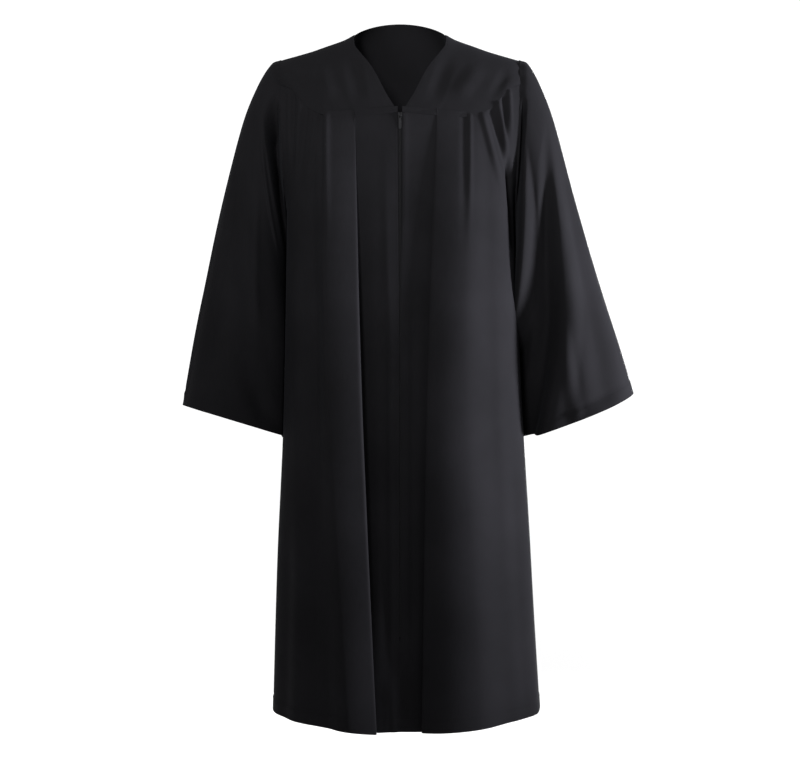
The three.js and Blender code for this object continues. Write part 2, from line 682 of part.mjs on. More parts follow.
// Depths at the slider, counted outwards from the front's outer face there
const SLIDER_TOP_Z = ZIP_TOP_Z - HALF_GAP;
const CROWN_Z = SLIDER_TOP_Z - CROWN.belowTop;
const SLIDER_FACE_Y = -along(BODY_SECTIONS, "z", "front", CROWN_Z);
const BEAD_FRONT_Y = SLIDER_FACE_Y + CLOTH_WALL + TAPE_CLEAR - BEAD_PROUD;
const PLATE_BACK_Y = BEAD_FRONT_Y - SLIDER.clear;
const PLATE_FRONT_Y = PLATE_BACK_Y - SLIDER.plate;
const REAR_PLATE_FRONT_Y = SLIDER_FACE_Y + CLOTH_WALL + TAPE_CLEAR + TAPE_WALL + SLIDER.clear;
const REAR_PLATE_BACK_Y = REAR_PLATE_FRONT_Y + SLIDER.plate;
const PULL_AXIS_Y = PLATE_FRONT_Y - CROWN.innerHeight / 2;

// The slider: a plate before and behind the chain, joined above it, with a crown that holds the pull
function zipSlider() {
  const bottomZ = SLIDER_TOP_Z - SLIDER.length;
  const crownFrontY = PLATE_FRONT_Y - CROWN.innerHeight - CROWN.bar;
  const crownHalf = CROWN.footCentre + CROWN.foot / 2;
  const foot = (direction) => {
    const middle = CROWN_Z + direction * CROWN.footCentre;
    return blockBetween(
      [-CROWN.halfWidth, crownFrontY, middle - CROWN.foot / 2],
      [CROWN.halfWidth, PLATE_BACK_Y, middle + CROWN.foot / 2],
    );
  };
  const plate = (frontY, backY) =>
    blockBetween([-SLIDER.halfWidth, frontY, bottomZ], [SLIDER.halfWidth, backY, SLIDER_TOP_Z]);
  const blocks = [
    plate(PLATE_FRONT_Y, PLATE_BACK_Y),
    plate(REAR_PLATE_FRONT_Y, REAR_PLATE_BACK_Y),
    blockBetween(
      [-SLIDER.postHalf, PLATE_FRONT_Y, SLIDER_TOP_Z - SLIDER.postLength],
      [SLIDER.postHalf, REAR_PLATE_BACK_Y, SLIDER_TOP_Z],
    ),
    foot(1),
    foot(-1),
    blockBetween(
      [-CROWN.halfWidth, crownFrontY, CROWN_Z - crownHalf],
      [CROWN.halfWidth, crownFrontY + CROWN.bar, CROWN_Z + crownHalf],
    ),
  ];
  return fromManifold(blocks.map(toManifold).reduce((whole, block) => whole.add(block)));
}

// The pull: a flat tab with round ends and a slot, its top bar held under the crown
function zipPull() {
  const { halfWidth, length, holeHalf, holeStart, holeEnd, thickness } = PULL;
  const top = holeStart;
  const outline = new THREE.Shape();
  outline.moveTo(-halfWidth, top - halfWidth / 2);
  outline.lineTo(-halfWidth, halfWidth - length);
  outline.absarc(0, halfWidth - length, halfWidth, Math.PI, 2 * Math.PI, false);
  outline.lineTo(halfWidth, top - halfWidth / 2);
  outline.absarc(halfWidth / 2, top - halfWidth / 2, halfWidth / 2, 0, QUARTER_TURN, false);
  outline.absarc(-halfWidth / 2, top - halfWidth / 2, halfWidth / 2, QUARTER_TURN, Math.PI, false);
  const slot = new THREE.Path();
  slot.moveTo(-holeHalf, -holeStart);
  slot.lineTo(holeHalf, -holeStart);
  slot.lineTo(holeHalf, -holeEnd);
  slot.lineTo(-holeHalf, -holeEnd);
  outline.holes.push(slot);
  const tab = new THREE.ExtrudeGeometry(outline, {
    depth: thickness,
    bevelEnabled: false,
    curveSegments: PULL_CORNER_SEGMENTS,
  });
  tab.translate(0, 0, -thickness / 2).rotateX(QUARTER_TURN);
  return tab.translate(0, PULL_AXIS_Y, CROWN_Z);
}

const gown = new THREE.Group();

function addPiece(name, geometry, material) {
  const mesh = new THREE.Mesh(geometry, new THREE.MeshStandardMaterial(material));
  mesh.name = name;
  gown.add(mesh);
}

const yokeSeams = { top: shoulderSeam, bottom: yokeSeam };

for (const side of [LEFT, RIGHT]) {
  const name = sideName(side);
  const panel = bodyPanel(FRONT, FRONT_YOKE_SEAM, (z) => frontColumns(side, z));
  const yoke = frontYoke(side, panel.seamPoints);
  const turned = (grid) => (side === RIGHT ? grid : mirrored(grid));
  const [left, right] = side === RIGHT ? [centreSeam, sideSeam] : [sideSeam, centreSeam];
  const frontSeams = { top: yokeSeam, left, right };
  const sleeveSeams = { top: armholeSeam };
  addPiece(`front_${name}`, clothWall(turned(panel.grid), { seams: frontSeams }), CLOTH);
  addPiece(`yoke_front_${name}`, clothWall(turned(yoke), { seams: yokeSeams }), CLOTH);
  addPiece(`sleeve_${name}`, clothWall(sleeveGrid(side), { closed: true, seams: sleeveSeams }), CLOTH);
  addPiece(`zip_tape_${name}`, zipTape(side), TAPE);
}

const back = bodyPanel(BACK, BACK_YOKE_SEAM, backColumns);
const backSeams = { top: yokeSeam, left: sideSeam, right: sideSeam };
addPiece("back", clothWall(mirrored(back.grid), { seams: backSeams }), CLOTH);
addPiece("yoke_back", clothWall(mirrored(backYoke(back.seamPoints)), { seams: yokeSeams }), CLOTH);

addPiece("zip_slider", zipSlider(), ZIP_METAL);
addPiece("zip_pull", zipPull(), ZIP_METAL);

export default gown;
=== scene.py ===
import math

import bmesh
import bpy
import numpy as np
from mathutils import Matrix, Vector


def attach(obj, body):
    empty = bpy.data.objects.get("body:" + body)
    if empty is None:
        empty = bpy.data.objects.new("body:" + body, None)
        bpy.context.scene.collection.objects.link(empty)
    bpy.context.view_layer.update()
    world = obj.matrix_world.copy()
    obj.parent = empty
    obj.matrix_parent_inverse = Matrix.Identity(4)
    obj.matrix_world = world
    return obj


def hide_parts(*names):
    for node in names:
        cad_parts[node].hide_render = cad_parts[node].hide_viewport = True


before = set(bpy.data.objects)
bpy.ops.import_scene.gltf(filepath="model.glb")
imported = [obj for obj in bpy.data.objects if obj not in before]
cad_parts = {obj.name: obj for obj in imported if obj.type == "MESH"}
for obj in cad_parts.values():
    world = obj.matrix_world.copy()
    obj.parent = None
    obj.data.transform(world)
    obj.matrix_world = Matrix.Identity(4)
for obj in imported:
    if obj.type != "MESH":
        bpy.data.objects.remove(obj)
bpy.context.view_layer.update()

# Graduation gown of plain matte black cloth. The tables are in millimetres, in the part's own frame:
# +Z up, +X to the viewer's right, the front faces -Y. Left and right are the viewer's.
MM = 0.001
LEFT = -1
RIGHT = 1
FRONT = -1
BACK = 1
QUARTER_TURN = math.pi / 2
SIDE_NAME = {LEFT: "left", RIGHT: "right"}
FACE_NAME = {FRONT: "front", BACK: "back"}

# Body: half-widths and depths of the section at each height
UNDERARM_Z = -330
BODY_SECTIONS = [
    dict(z=-40, left=214, right=214, front=98, back=96, power=2.4),
    dict(z=-161, left=212, right=212, front=118, back=110, power=2.4),
    dict(z=UNDERARM_Z, left=208, right=208, front=130, back=122, power=3),
    dict(z=-550, left=211, right=217, front=141, back=128, power=2.7),
    dict(z=-747, left=216, right=227, front=152, back=140, power=2.5),
    dict(z=-970, left=226, right=240, front=165, back=158, power=2.4),
    dict(z=-1260, left=234, right=257, front=178, back=172, power=2.4),
]

# Hem: lowest under the flutes, a little higher at the centre lines and the side seams
HEM_Z = -1254
HEM_SIDE_LIFT = {LEFT: 16, RIGHT: 26}
HEM_CENTRE_LIFT = 4
HEM_CENTRE_SHARE = 0.3

# Armhole: an upright oval in a nearly vertical plane
ARMHOLE_TOP_X = 220
ARMHOLE_TOP_Z = -47
ARMHOLE_BOTTOM_X = 208
ARMHOLE_DEPTH = {FRONT: 75, BACK: 82}
ARMHOLE_MIDDLE_Z = (ARMHOLE_TOP_Z + UNDERARM_Z) / 2
ARMHOLE_HALF_HEIGHT = (ARMHOLE_TOP_Z - UNDERARM_Z) / 2

# Shoulder seam, neck edge and yoke seams
SIDE_NECK_X = 84
SHOULDER_SEAM = [
    dict(x=SIDE_NECK_X, z=1),
    dict(x=100, z=-8),
    dict(x=115, z=-14),
    dict(x=135, z=-21),
    dict(x=160, z=-30),
    dict(x=187, z=-38),
    dict(x=ARMHOLE_TOP_X, z=ARMHOLE_TOP_Z),
]
ZIP_SLIT_HALF = 4
V_NECK_EDGE = [
    dict(down=0, x=SIDE_NECK_X),
    dict(down=0.4, x=83),
    dict(down=0.53, x=71),
    dict(down=0.68, x=50),
    dict(down=0.87, x=26),
    dict(down=0.97, x=9),
    dict(down=1, x=ZIP_SLIT_HALF),
]
BACK_NECK_Y = 75
BACK_NECK_RISE = 37
BACK_NECK_RISE_POWER = 1.3
BACK_NECK_SHARE = 0.62
BACK_NECK_DROP_POWER = 1.25
YOKE_DROP_POWER = 2
FRONT_YOKE_SEAM = [
    dict(x=0, z=-161),
    dict(x=60, z=-166),
    dict(x=120, z=-169),
    dict(x=150, z=-159),
    dict(x=172, z=-142),
    dict(x=195, z=-114),
    dict(x=218, z=-101),
]
BACK_YOKE_SEAM = [
    dict(x=0, z=-128),
    dict(x=120, z=-126),
    dict(x=218, z=-118),
]

# Yokes: how each lies over the panel below it, and the shares of its drop over which its form sets in
YOKE_ROWS = 48
YOKE_COLUMNS = 72
YOKE_OVERLAP = 0.6
YOKE_BULGE_OVER = 22
YOKE_BULGE_STARTS = 0.25
YOKE_CALM_TOP = 1 / 3
YOKE_CALM_FOOT = 0.25
YOKE_LEAN = 0.35
SHOULDER_TUCK = (4, -2.5)

# Zip: its opening runs down the centre front, and the fronts are sewn together below it
ZIP_TOP_Z = -161
ZIP_END_Z = -1085
ZIP_CLOSES_OVER = 10
ZIP_FOOT_HALF = 1.2

# Folds that hang from the yoke seams: distance across at the yoke, half-way down and at the hem,
# how far each stands out at the same heights, how sharp it is and the number of columns to the next
FOLD_TOP_Z = ZIP_TOP_Z
FOLD_MIDDLE_Z = -640
FRONT_FOLDS = {
    LEFT: [
        dict(top=34, middle=25, hem=22, rise=(0, -5, 2), sharp=0, columns=10),
        dict(top=82, middle=72, hem=47, rise=(0, -16, 3), sharp=0.3, columns=14),
        dict(top=80, middle=65, hem=38, rise=(6, 21, 16), sharp=1, columns=24),
        dict(top=131, middle=120, hem=84, rise=(25, 29, 25), sharp=0.5, columns=24),
        dict(top=158, middle=150, hem=146, rise=(7, 7, 7), sharp=0, columns=0),
    ],
    RIGHT: [
        dict(top=32, middle=21, hem=19, rise=(0, 0, 0), sharp=0, columns=10),
        dict(top=66, middle=52, hem=42, rise=(1, -2, 0), sharp=0.3, columns=12),
        dict(top=65, middle=46, hem=36, rise=(9, 16, 9), sharp=1, columns=24),
        dict(top=124, middle=106, hem=128, rise=(20, 27, 28), sharp=0, columns=24),
        dict(top=156, middle=160, hem=186, rise=(10, 17, 18), sharp=0, columns=0),
    ],
}
FRONT_EDGE_COLUMNS = 10
FRONT_SIDE_COLUMNS = 52
BACK_FOLDS = [
    dict(top=-172, middle=-172, hem=-184, rise=(3, 3, 3), sharp=0),
    dict(top=-150, middle=-148, hem=-152, rise=(18, 18, 18), sharp=0),
    dict(top=-126, middle=-122, hem=-126, rise=(2, 2, 2), sharp=0),
    dict(top=-104, middle=-94, hem=-96, rise=(22, 22, 22), sharp=0),
    dict(top=-80, middle=-70, hem=-74, rise=(1, 1, 1), sharp=0),
    dict(top=-56, middle=-44, hem=-46, rise=(20, 20, 20), sharp=0),
    dict(top=-30, middle=-20, hem=-22, rise=(0, 0, 0), sharp=0),
    dict(top=-4, middle=6, hem=4, rise=(17, 17, 17), sharp=0),
    dict(top=22, middle=30, hem=30, rise=(1, 1, 1), sharp=0),
    dict(top=48, middle=54, hem=58, rise=(21, 21, 21), sharp=0),
    dict(top=74, middle=78, hem=84, rise=(1, 1, 1), sharp=0),
    dict(top=100, middle=102, hem=112, rise=(23, 23, 23), sharp=0),
    dict(top=124, middle=126, hem=138, rise=(2, 2, 2), sharp=0),
    dict(top=150, middle=152, hem=166, rise=(17, 17, 17), sharp=0),
    dict(top=172, middle=176, hem=196, rise=(3, 3, 3), sharp=0),
]
BACK_FOLD_COLUMNS = 10
BACK_SIDE_COLUMNS = 24
FOLD_AT_SEAM = 0.12
FOLD_GROWS_OVER = 110
FOLD_EXTRA_AT_HEM = 0.25

# Rows of a panel: tucked under the yoke, to the underarm, to the zip's end, to the hem
TUCK_ROWS = 3
TUCK_UP = 12
TUCK_IN = 1.5
UPPER_ROWS = 44
MIDDLE_ROWS = 110
LOWER_ROWS = 30

# How far the folds are softened, and where the cloth lies calm beside the zip and the side seams
SOFTENING = 3
ZIP_CALM = 40
EDGE_HOLD = 30
SIDE_CALM_POWER = 4

# Creases of the fronts: start and end as distance across and height, how far each stands out
# (a trough is negative), its half-width and the shares of its length over which it fades
FRONT_CREASES = {
    LEFT: [
        dict(start=(146, -373), end=(140, -953), rise=-5, spread=24, fade=(0.3, 0.4)),
        dict(start=(182, -330), end=(176, -930), rise=4, spread=20, fade=(0.3, 0.4)),
        dict(start=(27, -430), end=(24, -1190), rise=-4, spread=11, fade=(0.3, 0.2)),
        dict(start=(16, -1130), end=(12, -1256), rise=3, spread=15, fade=(0.5, 0.05)),
        dict(start=(196, -800), end=(206, -1256), rise=-6, spread=24, fade=(0.4, 0.05)),
        dict(start=(120, -960), end=(118, -1256), rise=-3, spread=18, fade=(0.5, 0.05)),
        dict(start=(131, -160), end=(121, -420), rise=3, spread=7, fade=(0.02, 0.7)),
        dict(start=(140, -160), end=(130, -420), rise=-3, spread=8, fade=(0.02, 0.7)),
        dict(start=(150, -158), end=(166, -330), rise=3, spread=8, fade=(0.03, 0.7)),
        dict(start=(166, -148), end=(178, -300), rise=-3, spread=7, fade=(0.03, 0.6)),
        dict(start=(178, -136), end=(186, -290), rise=4, spread=7, fade=(0.03, 0.6)),
        dict(start=(190, -122), end=(192, -280), rise=-4, spread=6, fade=(0.03, 0.6)),
        dict(start=(200, -112), end=(200, -262), rise=3.5, spread=6, fade=(0.03, 0.6)),
    ],
    RIGHT: [
        dict(start=(178, -420), end=(196, -1200), rise=-2, spread=22, fade=(0.3, 0.3)),
        dict(start=(24, -400), end=(21, -1200), rise=-3.5, spread=10, fade=(0.3, 0.2)),
        dict(start=(206, -700), end=(226, -1256), rise=5, spread=22, fade=(0.4, 0.05)),
        dict(start=(8, -160), end=(8, -460), rise=1.6, spread=5, fade=(0.02, 0.5)),
        dict(start=(124, -160), end=(116, -420), rise=3, spread=7, fade=(0.02, 0.7)),
        dict(start=(115, -160), end=(107, -420), rise=-3, spread=8, fade=(0.02, 0.7)),
        dict(start=(146, -158), end=(180, -310), rise=5, spread=9, fade=(0.03, 0.6)),
        dict(start=(161, -150), end=(190, -266), rise=-5.5, spread=7, fade=(0.05, 0.3)),
        dict(start=(174, -136), end=(194, -250), rise=7, spread=8, fade=(0.03, 0.5)),
        dict(start=(185, -124), end=(190, -214), rise=-6, spread=6, fade=(0.05, 0.4)),
        dict(start=(196, -112), end=(201, -220), rise=6, spread=7, fade=(0.03, 0.6)),
        dict(start=(191, -218), end=(200, -420), rise=-16, spread=9, fade=(0.3, 0.35)),
    ],
}
BACK_CREASES = [
    dict(start=(-162, -320), end=(-140, -760), rise=-5, spread=16, fade=(0.3, 0.4)),
    dict(start=(-60, -470), end=(-52, -1256), rise=4, spread=12, fade=(0.4, 0.05)),
    dict(start=(16, -300), end=(28, -720), rise=-4, spread=11, fade=(0.3, 0.4)),
    dict(start=(88, -640), end=(98, -1256), rise=4, spread=13, fade=(0.4, 0.05)),
    dict(start=(168, -420), end=(160, -980), rise=-5, spread=16, fade=(0.3, 0.4)),
    dict(start=(-198, -700), end=(-208, -1256), rise=5, spread=20, fade=(0.4, 0.05)),
]
YOKE_CREASES = {
    LEFT: [
        dict(start=(90, -40), end=(70, -150), rise=-2.5, spread=20, fade=(0.4, 0.3)),
        dict(start=(150, -52), end=(120, -150), rise=2.5, spread=22, fade=(0.4, 0.3)),
        dict(start=(198, -60), end=(178, -126), rise=-2, spread=14, fade=(0.4, 0.3)),
    ],
    RIGHT: [
        dict(start=(92, -44), end=(54, -152), rise=-3, spread=20, fade=(0.4, 0.3)),
        dict(start=(152, -58), end=(96, -140), rise=3.5, spread=24, fade=(0.4, 0.3)),
        dict(start=(200, -64), end=(160, -146), rise=-2.5, spread=16, fade=(0.4, 0.3)),
    ],
}
BACK_YOKE_CREASES = [
    dict(start=(-140, -40), end=(-60, -104), rise=2, spread=22, fade=(0.4, 0.4)),
    dict(start=(120, -36), end=(40, -96), rise=2, spread=22, fade=(0.4, 0.4)),
]

# Sleeves: rings from the armhole to the hem, by outer edge, inner edge and depths
SLEEVE_RINGS = {
    LEFT: [
        dict(along=0, outer=220, outer_z=-47, inner_z=-330, tuck=0, front=75, back=82),
        dict(along=0.05, outer=237, outer_z=-53, inner_z=-356, tuck=8, front=83, back=88),
        dict(along=0.13, outer=261, outer_z=-90, inner_z=-392, tuck=16, front=88, back=92),
        dict(along=0.26, outer=290, outer_z=-166, inner_z=-450, tuck=24, front=94, back=97),
        dict(along=0.5, outer=328, outer_z=-328, inner_z=-548, tuck=30, front=102, back=104),
        dict(along=0.75, outer=367, outer_z=-508, inner_z=-646, tuck=32, front=109, back=111),
        dict(along=1, outer=401, outer_z=-683, inner_z=-741, tuck=32, front=115, back=118),
    ],
    RIGHT: [
        dict(along=0, outer=220, outer_z=-47, inner_z=-330, tuck=0, front=75, back=82),
        dict(along=0.05, outer=236, outer_z=-53, inner_z=-356, tuck=8, front=83, back=88),
        dict(along=0.13, outer=257, outer_z=-90, inner_z=-392, tuck=16, front=88, back=92),
        dict(along=0.26, outer=285, outer_z=-166, inner_z=-450, tuck=24, front=94, back=97),
        dict(along=0.5, outer=329, outer_z=-325, inner_z=-548, tuck=30, front=103, back=104),
        dict(along=0.75, outer=380, outer_z=-497, inner_z=-646, tuck=32, front=111, back=111),
        dict(along=1, outer=429, outer_z=-660, inner_z=-741, tuck=32, front=118, back=118),
    ],
}
SLEEVE_ROWS = 130
SLEEVE_COLUMNS = 150
SLEEVE_ROW_POWER = 1.35
SLEEVE_HEM_DROOP = {LEFT: -5, RIGHT: 7}
SLEEVE_DROOP_POWER = 3
SLEEVE_CLEAR = 1.2
SLEEVE_TUCK_ROWS = 3
SLEEVE_TUCK_X = 5
SLEEVE_TUCK_SHARE = 0.03

# Sleeve folds: each path gives, by share of the way down, the place round the ring in degrees from
# the outer edge towards the front, and how far the fold stands out. The spread is its half-width in
# degrees.
SLEEVE_FOLDS = {
    LEFT: [
        dict(spread=28, path=(
            (0.25, 38, 0), (0.49, 61, -4), (0.59, 88, -6), (0.83, 108, -7), (1, 150, -6),
        )),
        dict(spread=36, path=((0.3, 140, 0), (0.5, 148, 16), (1, 158, 18))),
        dict(spread=34, path=((0.1, 20, 0), (0.5, 28, 3), (1, 50, 4))),
        dict(spread=30, path=((0.06, 296, 0), (0.4, 268, -14), (1, 220, -14))),
        dict(spread=34, path=((0.06, 332, 0), (0.4, 313, 8), (1, 280, 8))),
    ],
    RIGHT: [
        dict(spread=26, path=(
            (0.2, 60, 0), (0.34, 81, -14), (0.46, 95, -20), (0.6, 107, -22),
            (0.76, 128, -22), (0.93, 144, -18), (1, 150, -16),
        )),
        dict(spread=36, path=(
            (0.05, 122, 0), (0.12, 124, 32), (0.27, 132, 58), (0.42, 142, 50), (0.6, 158, 0),
        )),
        dict(spread=30, path=(
            (0.3, 50, 0), (0.42, 58, 3), (0.54, 71, 5), (0.67, 82, 7), (0.81, 105, 12), (1, 130, 20),
        )),
        dict(spread=30, path=((0.06, 286, 0), (0.4, 260, -14), (1, 214, -14))),
        dict(spread=34, path=((0.06, 322, 0), (0.4, 302, 8), (1, 268, 8))),
    ],
}

# Smaller creases of the sleeves, by degrees round the ring and share of the way down
SLEEVE_CREASES = {
    LEFT: [
        dict(start=(84, 0.24), end=(112, 0.7), rise=2.5, spread=18, fade=(0.3, 0.4)),
        dict(start=(40, 0.2), end=(60, 1.0), rise=-4, spread=22, fade=(0.4, 0.05)),
        dict(start=(54, 0.055), end=(172, 0.1), rise=-58, spread=50, fade=(0.25, 0.2)),
        dict(start=(60, 0.15), end=(140, 0.26), rise=5, spread=18, fade=(0.3, 0.3)),
        dict(start=(10, 0.35), end=(22, 1.0), rise=3, spread=20, fade=(0.4, 0.05)),
        dict(start=(255, 0.1), end=(205, 0.7), rise=4, spread=20, fade=(0.3, 0.4)),
        dict(start=(318, 0.2), end=(300, 1.0), rise=-4, spread=24, fade=(0.4, 0.05)),
    ],
    RIGHT: [
        dict(start=(60, 0.03), end=(150, 0.05), rise=-18, spread=17, fade=(0.2, 0.3)),
        dict(start=(30, 0.2), end=(62, 1.0), rise=-9, spread=52, fade=(0.4, 0.05)),
        dict(start=(92, 0.6), end=(96, 1.0), rise=4, spread=20, fade=(0.5, 0.05)),
        dict(start=(250, 0.1), end=(200, 0.7), rise=4, spread=20, fade=(0.3, 0.4)),
        dict(start=(310, 0.2), end=(296, 1.0), rise=-4, spread=24, fade=(0.4, 0.05)),
    ],
}
SLEEVE_MM_PER_DEGREE = 1.9
SLEEVE_LENGTH = 620
HEAD_PUCKERS = 21
HEAD_PUCKER_RISE = 0.8
HEAD_PUCKER_LENGTH = 0.035
HEAD_HOLD = 0.03

# Hems, cloth thickness and the small unevenness of hanging cloth
HEM_TURN = 22
HEM_STEP = 0.8
HEM_GROOVE = 0.7
HEM_GROOVE_HALF = 3
CLOTH_THICKNESS = 1.2
PANEL_WAVE_SHIFT = 900
SLEEVE_WAVE_SHIFT = 700
SLEEVE_WAVE_REACH = 200
SLEEVE_WAVE_STARTS = 0.2
UNEVEN_WAVES = [
    dict(across=0.021, down=0.008, turn=0.4, rise=0.7),
    dict(across=-0.013, down=0.017, turn=1.9, rise=0.8),
    dict(across=0.034, down=-0.011, turn=3.1, rise=0.45),
    dict(across=0.008, down=0.029, turn=4.6, rise=0.45),
]


def smooth(share):
    u = np.clip(share, 0.0, 1.0)
    return u * u * (3 - 2 * u)


def mix(a, b, share):
    return a + (b - a) * share


def along(table, by, want, at):
    """A value from a table, smooth between its rows."""
    rows = sorted(table, key=lambda row: row[by])
    place = np.array([row[by] for row in rows], float)
    value = np.array([row[want] for row in rows], float)
    last = len(rows) - 1
    low = np.maximum(np.arange(last + 1) - 1, 0)
    high = np.minimum(np.arange(last + 1) + 1, last)
    slope = (value[high] - value[low]) / (place[high] - place[low])
    at = np.clip(at, place[0], place[-1])
    k = np.clip(np.searchsorted(place, at) - 1, 0, last - 1)
    step = place[k + 1] - place[k]
    u = (at - place[k]) / step
    bend = slope[k] * u * (1 - u) ** 2 - slope[k + 1] * u * u * (1 - u)
    return mix(value[k], value[k + 1], smooth(u)) + bend * step


def armhole_x(z):
    return mix(ARMHOLE_TOP_X, ARMHOLE_BOTTOM_X, (ARMHOLE_TOP_Z - z) / (ARMHOLE_TOP_Z - UNDERARM_Z))


def armhole_depth(face, z):
    u = (z - ARMHOLE_MIDDLE_Z) / ARMHOLE_HALF_HEIGHT
    return ARMHOLE_DEPTH[face] * np.sqrt(np.maximum(1 - u * u, 0))


def side_width(side, z):
    left = along(BODY_SECTIONS, "z", "left", z)
    right = along(BODY_SECTIONS, "z", "right", z)
    return np.where(np.asarray(side) < 0, left, right)


def section(side, face, z):
    """Half-width, depth and power of the body at a height, and the angle where it ends."""
    z = np.asarray(z, float)
    depth = along(BODY_SECTIONS, "z", FACE_NAME[face], z)
    power = along(BODY_SECTIONS, "z", "power", z)
    cut = np.where(z > UNDERARM_Z, armhole_depth(face, z) / depth, 0.0) ** power
    width = np.where(z > UNDERARM_Z, armhole_x(z) / (1 - cut) ** (1 / power), side_width(side, z))
    return width, depth, power, np.arcsin(np.sqrt(1 - cut))


def body_point(side, face, angle, z):
    """A point of the plain body and the level way out of it there."""
    width, depth, power, _ = section(side, face, z)
    x_share = np.sin(angle) ** (2 / power)
    y_share = np.maximum(np.cos(angle), 0) ** (2 / power)
    point = np.stack([side * width * x_share, face * depth * y_share, z + 0 * x_share], -1)
    out_x = side * x_share ** (power - 1) / width
    out_y = face * y_share ** (power - 1) / depth
    out = np.stack([out_x, out_y, 0 * x_share], -1)
    return point, out / np.linalg.norm(out, axis=-1, keepdims=True)


def angle_at(side, face, across, z):
    width, _, power, _ = section(side, face, z)
    return np.arcsin(np.minimum(np.abs(across) / width, 1) ** (power / 2))


def fold_across(fold, z):
    rows = [
        dict(z=FOLD_TOP_Z, across=fold["top"]),
        dict(z=FOLD_MIDDLE_Z, across=fold["middle"]),
        dict(z=HEM_Z, across=fold["hem"]),
    ]
    return along(rows, "z", "across", z)


def fold_rise(fold, z):
    top, middle, hem = fold["rise"]
    rows = [dict(z=FOLD_TOP_Z, rise=top), dict(z=FOLD_MIDDLE_Z, rise=middle), dict(z=HEM_Z, rise=hem)]
    return along(rows, "z", "rise", z)


def ease(share, start, end):
    """From 0 to 1: level at a soft end, and sloping up to a sharp one."""
    soft_end = np.sin(share * QUARTER_TURN)
    soft_start = 1 - np.cos(share * QUARTER_TURN)
    from_soft = mix(smooth(share), soft_start, end)
    from_sharp = mix(soft_end, share, end)
    return mix(from_soft, from_sharp, start)


def fold_growth(seam_z, z):
    grown = mix(1, FOLD_AT_SEAM, np.exp(np.minimum(z - seam_z, 0) / FOLD_GROWS_OVER))
    return grown * (1 + FOLD_EXTRA_AT_HEM * smooth((seam_z - z) / (seam_z - HEM_Z)))


def crease_rise(creases, across, down):
    """How far the creases move the cloth at places given by two distances."""
    total = np.zeros(np.broadcast(across, down).shape)
    for crease in creases:
        start = np.array(crease["start"], float)
        run = np.array(crease["end"], float) - start
        length = np.hypot(*run)
        share = ((across - start[0]) * run[0] + (down - start[1]) * run[1]) / length ** 2
        apart = np.abs((across - start[0]) * run[1] - (down - start[1]) * run[0]) / length
        ends = smooth(share / crease["fade"][0]) * smooth((1 - share) / crease["fade"][1])
        total += crease["rise"] * ends * (1 - smooth(apart / crease["spread"]))
    return total


def unevenness(across, down):
    waves = [w["rise"] * np.sin(w["across"] * across + w["down"] * down + w["turn"]) for w in UNEVEN_WAVES]
    return sum(waves)


def hem_step(above_hem):
    """The turned hem: a little thicker, with a shallow groove along its stitching."""
    turned = HEM_STEP * (1 - smooth((above_hem - HEM_TURN) / HEM_GROOVE_HALF))
    groove = HEM_GROOVE * (1 - smooth(np.abs(above_hem - HEM_TURN - HEM_GROOVE_HALF) / HEM_GROOVE_HALF))
    return turned - groove


def heights_of(seam_z, hem_z):
    """The heights of a panel's rows in one column."""
    tucked = seam_z + TUCK_UP * np.linspace(1, 0, TUCK_ROWS, endpoint=False)
    upper = mix(seam_z, UNDERARM_Z, np.sin(np.linspace(0, QUARTER_TURN, UPPER_ROWS + 1)))
    middle = np.linspace(UNDERARM_Z, ZIP_END_Z, MIDDLE_ROWS + 1)[1:]
    lower = np.linspace(ZIP_END_Z, hem_z, LOWER_ROWS + 1)[1:]
    return np.concatenate([tucked, upper, middle, lower])


def fold_column(side, face, fold, following, share):
    """A column between two folds, as its side, angle and rise at given heights."""
    def at(z):
        across = mix(fold_across(fold, z), fold_across(following, z), share)
        where = np.sign(across) if side is None else side
        where = np.where(np.asarray(where) == 0, RIGHT, where)
        up = ease(share, fold["sharp"], following["sharp"])
        rise = mix(fold_rise(fold, z), fold_rise(following, z), up)
        return where, angle_at(where, face, across, z), rise
    return at


def side_column(side, face, fold, share):
    """A column between the last fold and the side seam or armhole."""
    def at(z):
        start = angle_at(side, face, fold_across(fold, z), z)
        return side, mix(start, section(side, face, z)[3], share), fold_rise(fold, z) * (1 - smooth(share))
    return at


def zip_edge_column(side, first, share):
    """A column between the zip's edge, or the centre seam below it, and the first fold."""
    def at(z):
        slit = mix(ZIP_FOOT_HALF, ZIP_SLIT_HALF, smooth((z - FOLD_MIDDLE_Z) / (ZIP_TOP_Z - FOLD_MIDDLE_Z)))
        edge = slit * smooth((z - ZIP_END_Z + ZIP_CLOSES_OVER) / ZIP_CLOSES_OVER)
        return side, angle_at(side, FRONT, mix(edge, fold_across(first, z), share), z), 0
    return at


def front_columns(side):
    folds = FRONT_FOLDS[side]
    shares = np.linspace(0, 1, FRONT_EDGE_COLUMNS, endpoint=False)
    columns = [zip_edge_column(side, folds[0], share) for share in shares]
    for fold, following in zip(folds, folds[1:]):
        for share in np.linspace(0, 1, fold["columns"], endpoint=False):
            columns.append(fold_column(side, FRONT, fold, following, share))
    for share in np.linspace(0, 1, FRONT_SIDE_COLUMNS + 1):
        columns.append(side_column(side, FRONT, folds[-1], share))
    return columns


def back_columns():
    shares = np.linspace(0, 1, BACK_SIDE_COLUMNS + 1)
    columns = [side_column(LEFT, BACK, BACK_FOLDS[0], share) for share in shares[:0:-1]]
    for fold, following in zip(BACK_FOLDS, BACK_FOLDS[1:]):
        for share in np.linspace(0, 1, BACK_FOLD_COLUMNS, endpoint=False):
            columns.append(fold_column(None, BACK, fold, following, share))
    columns += [side_column(RIGHT, BACK, BACK_FOLDS[-1], share) for share in shares]
    return columns


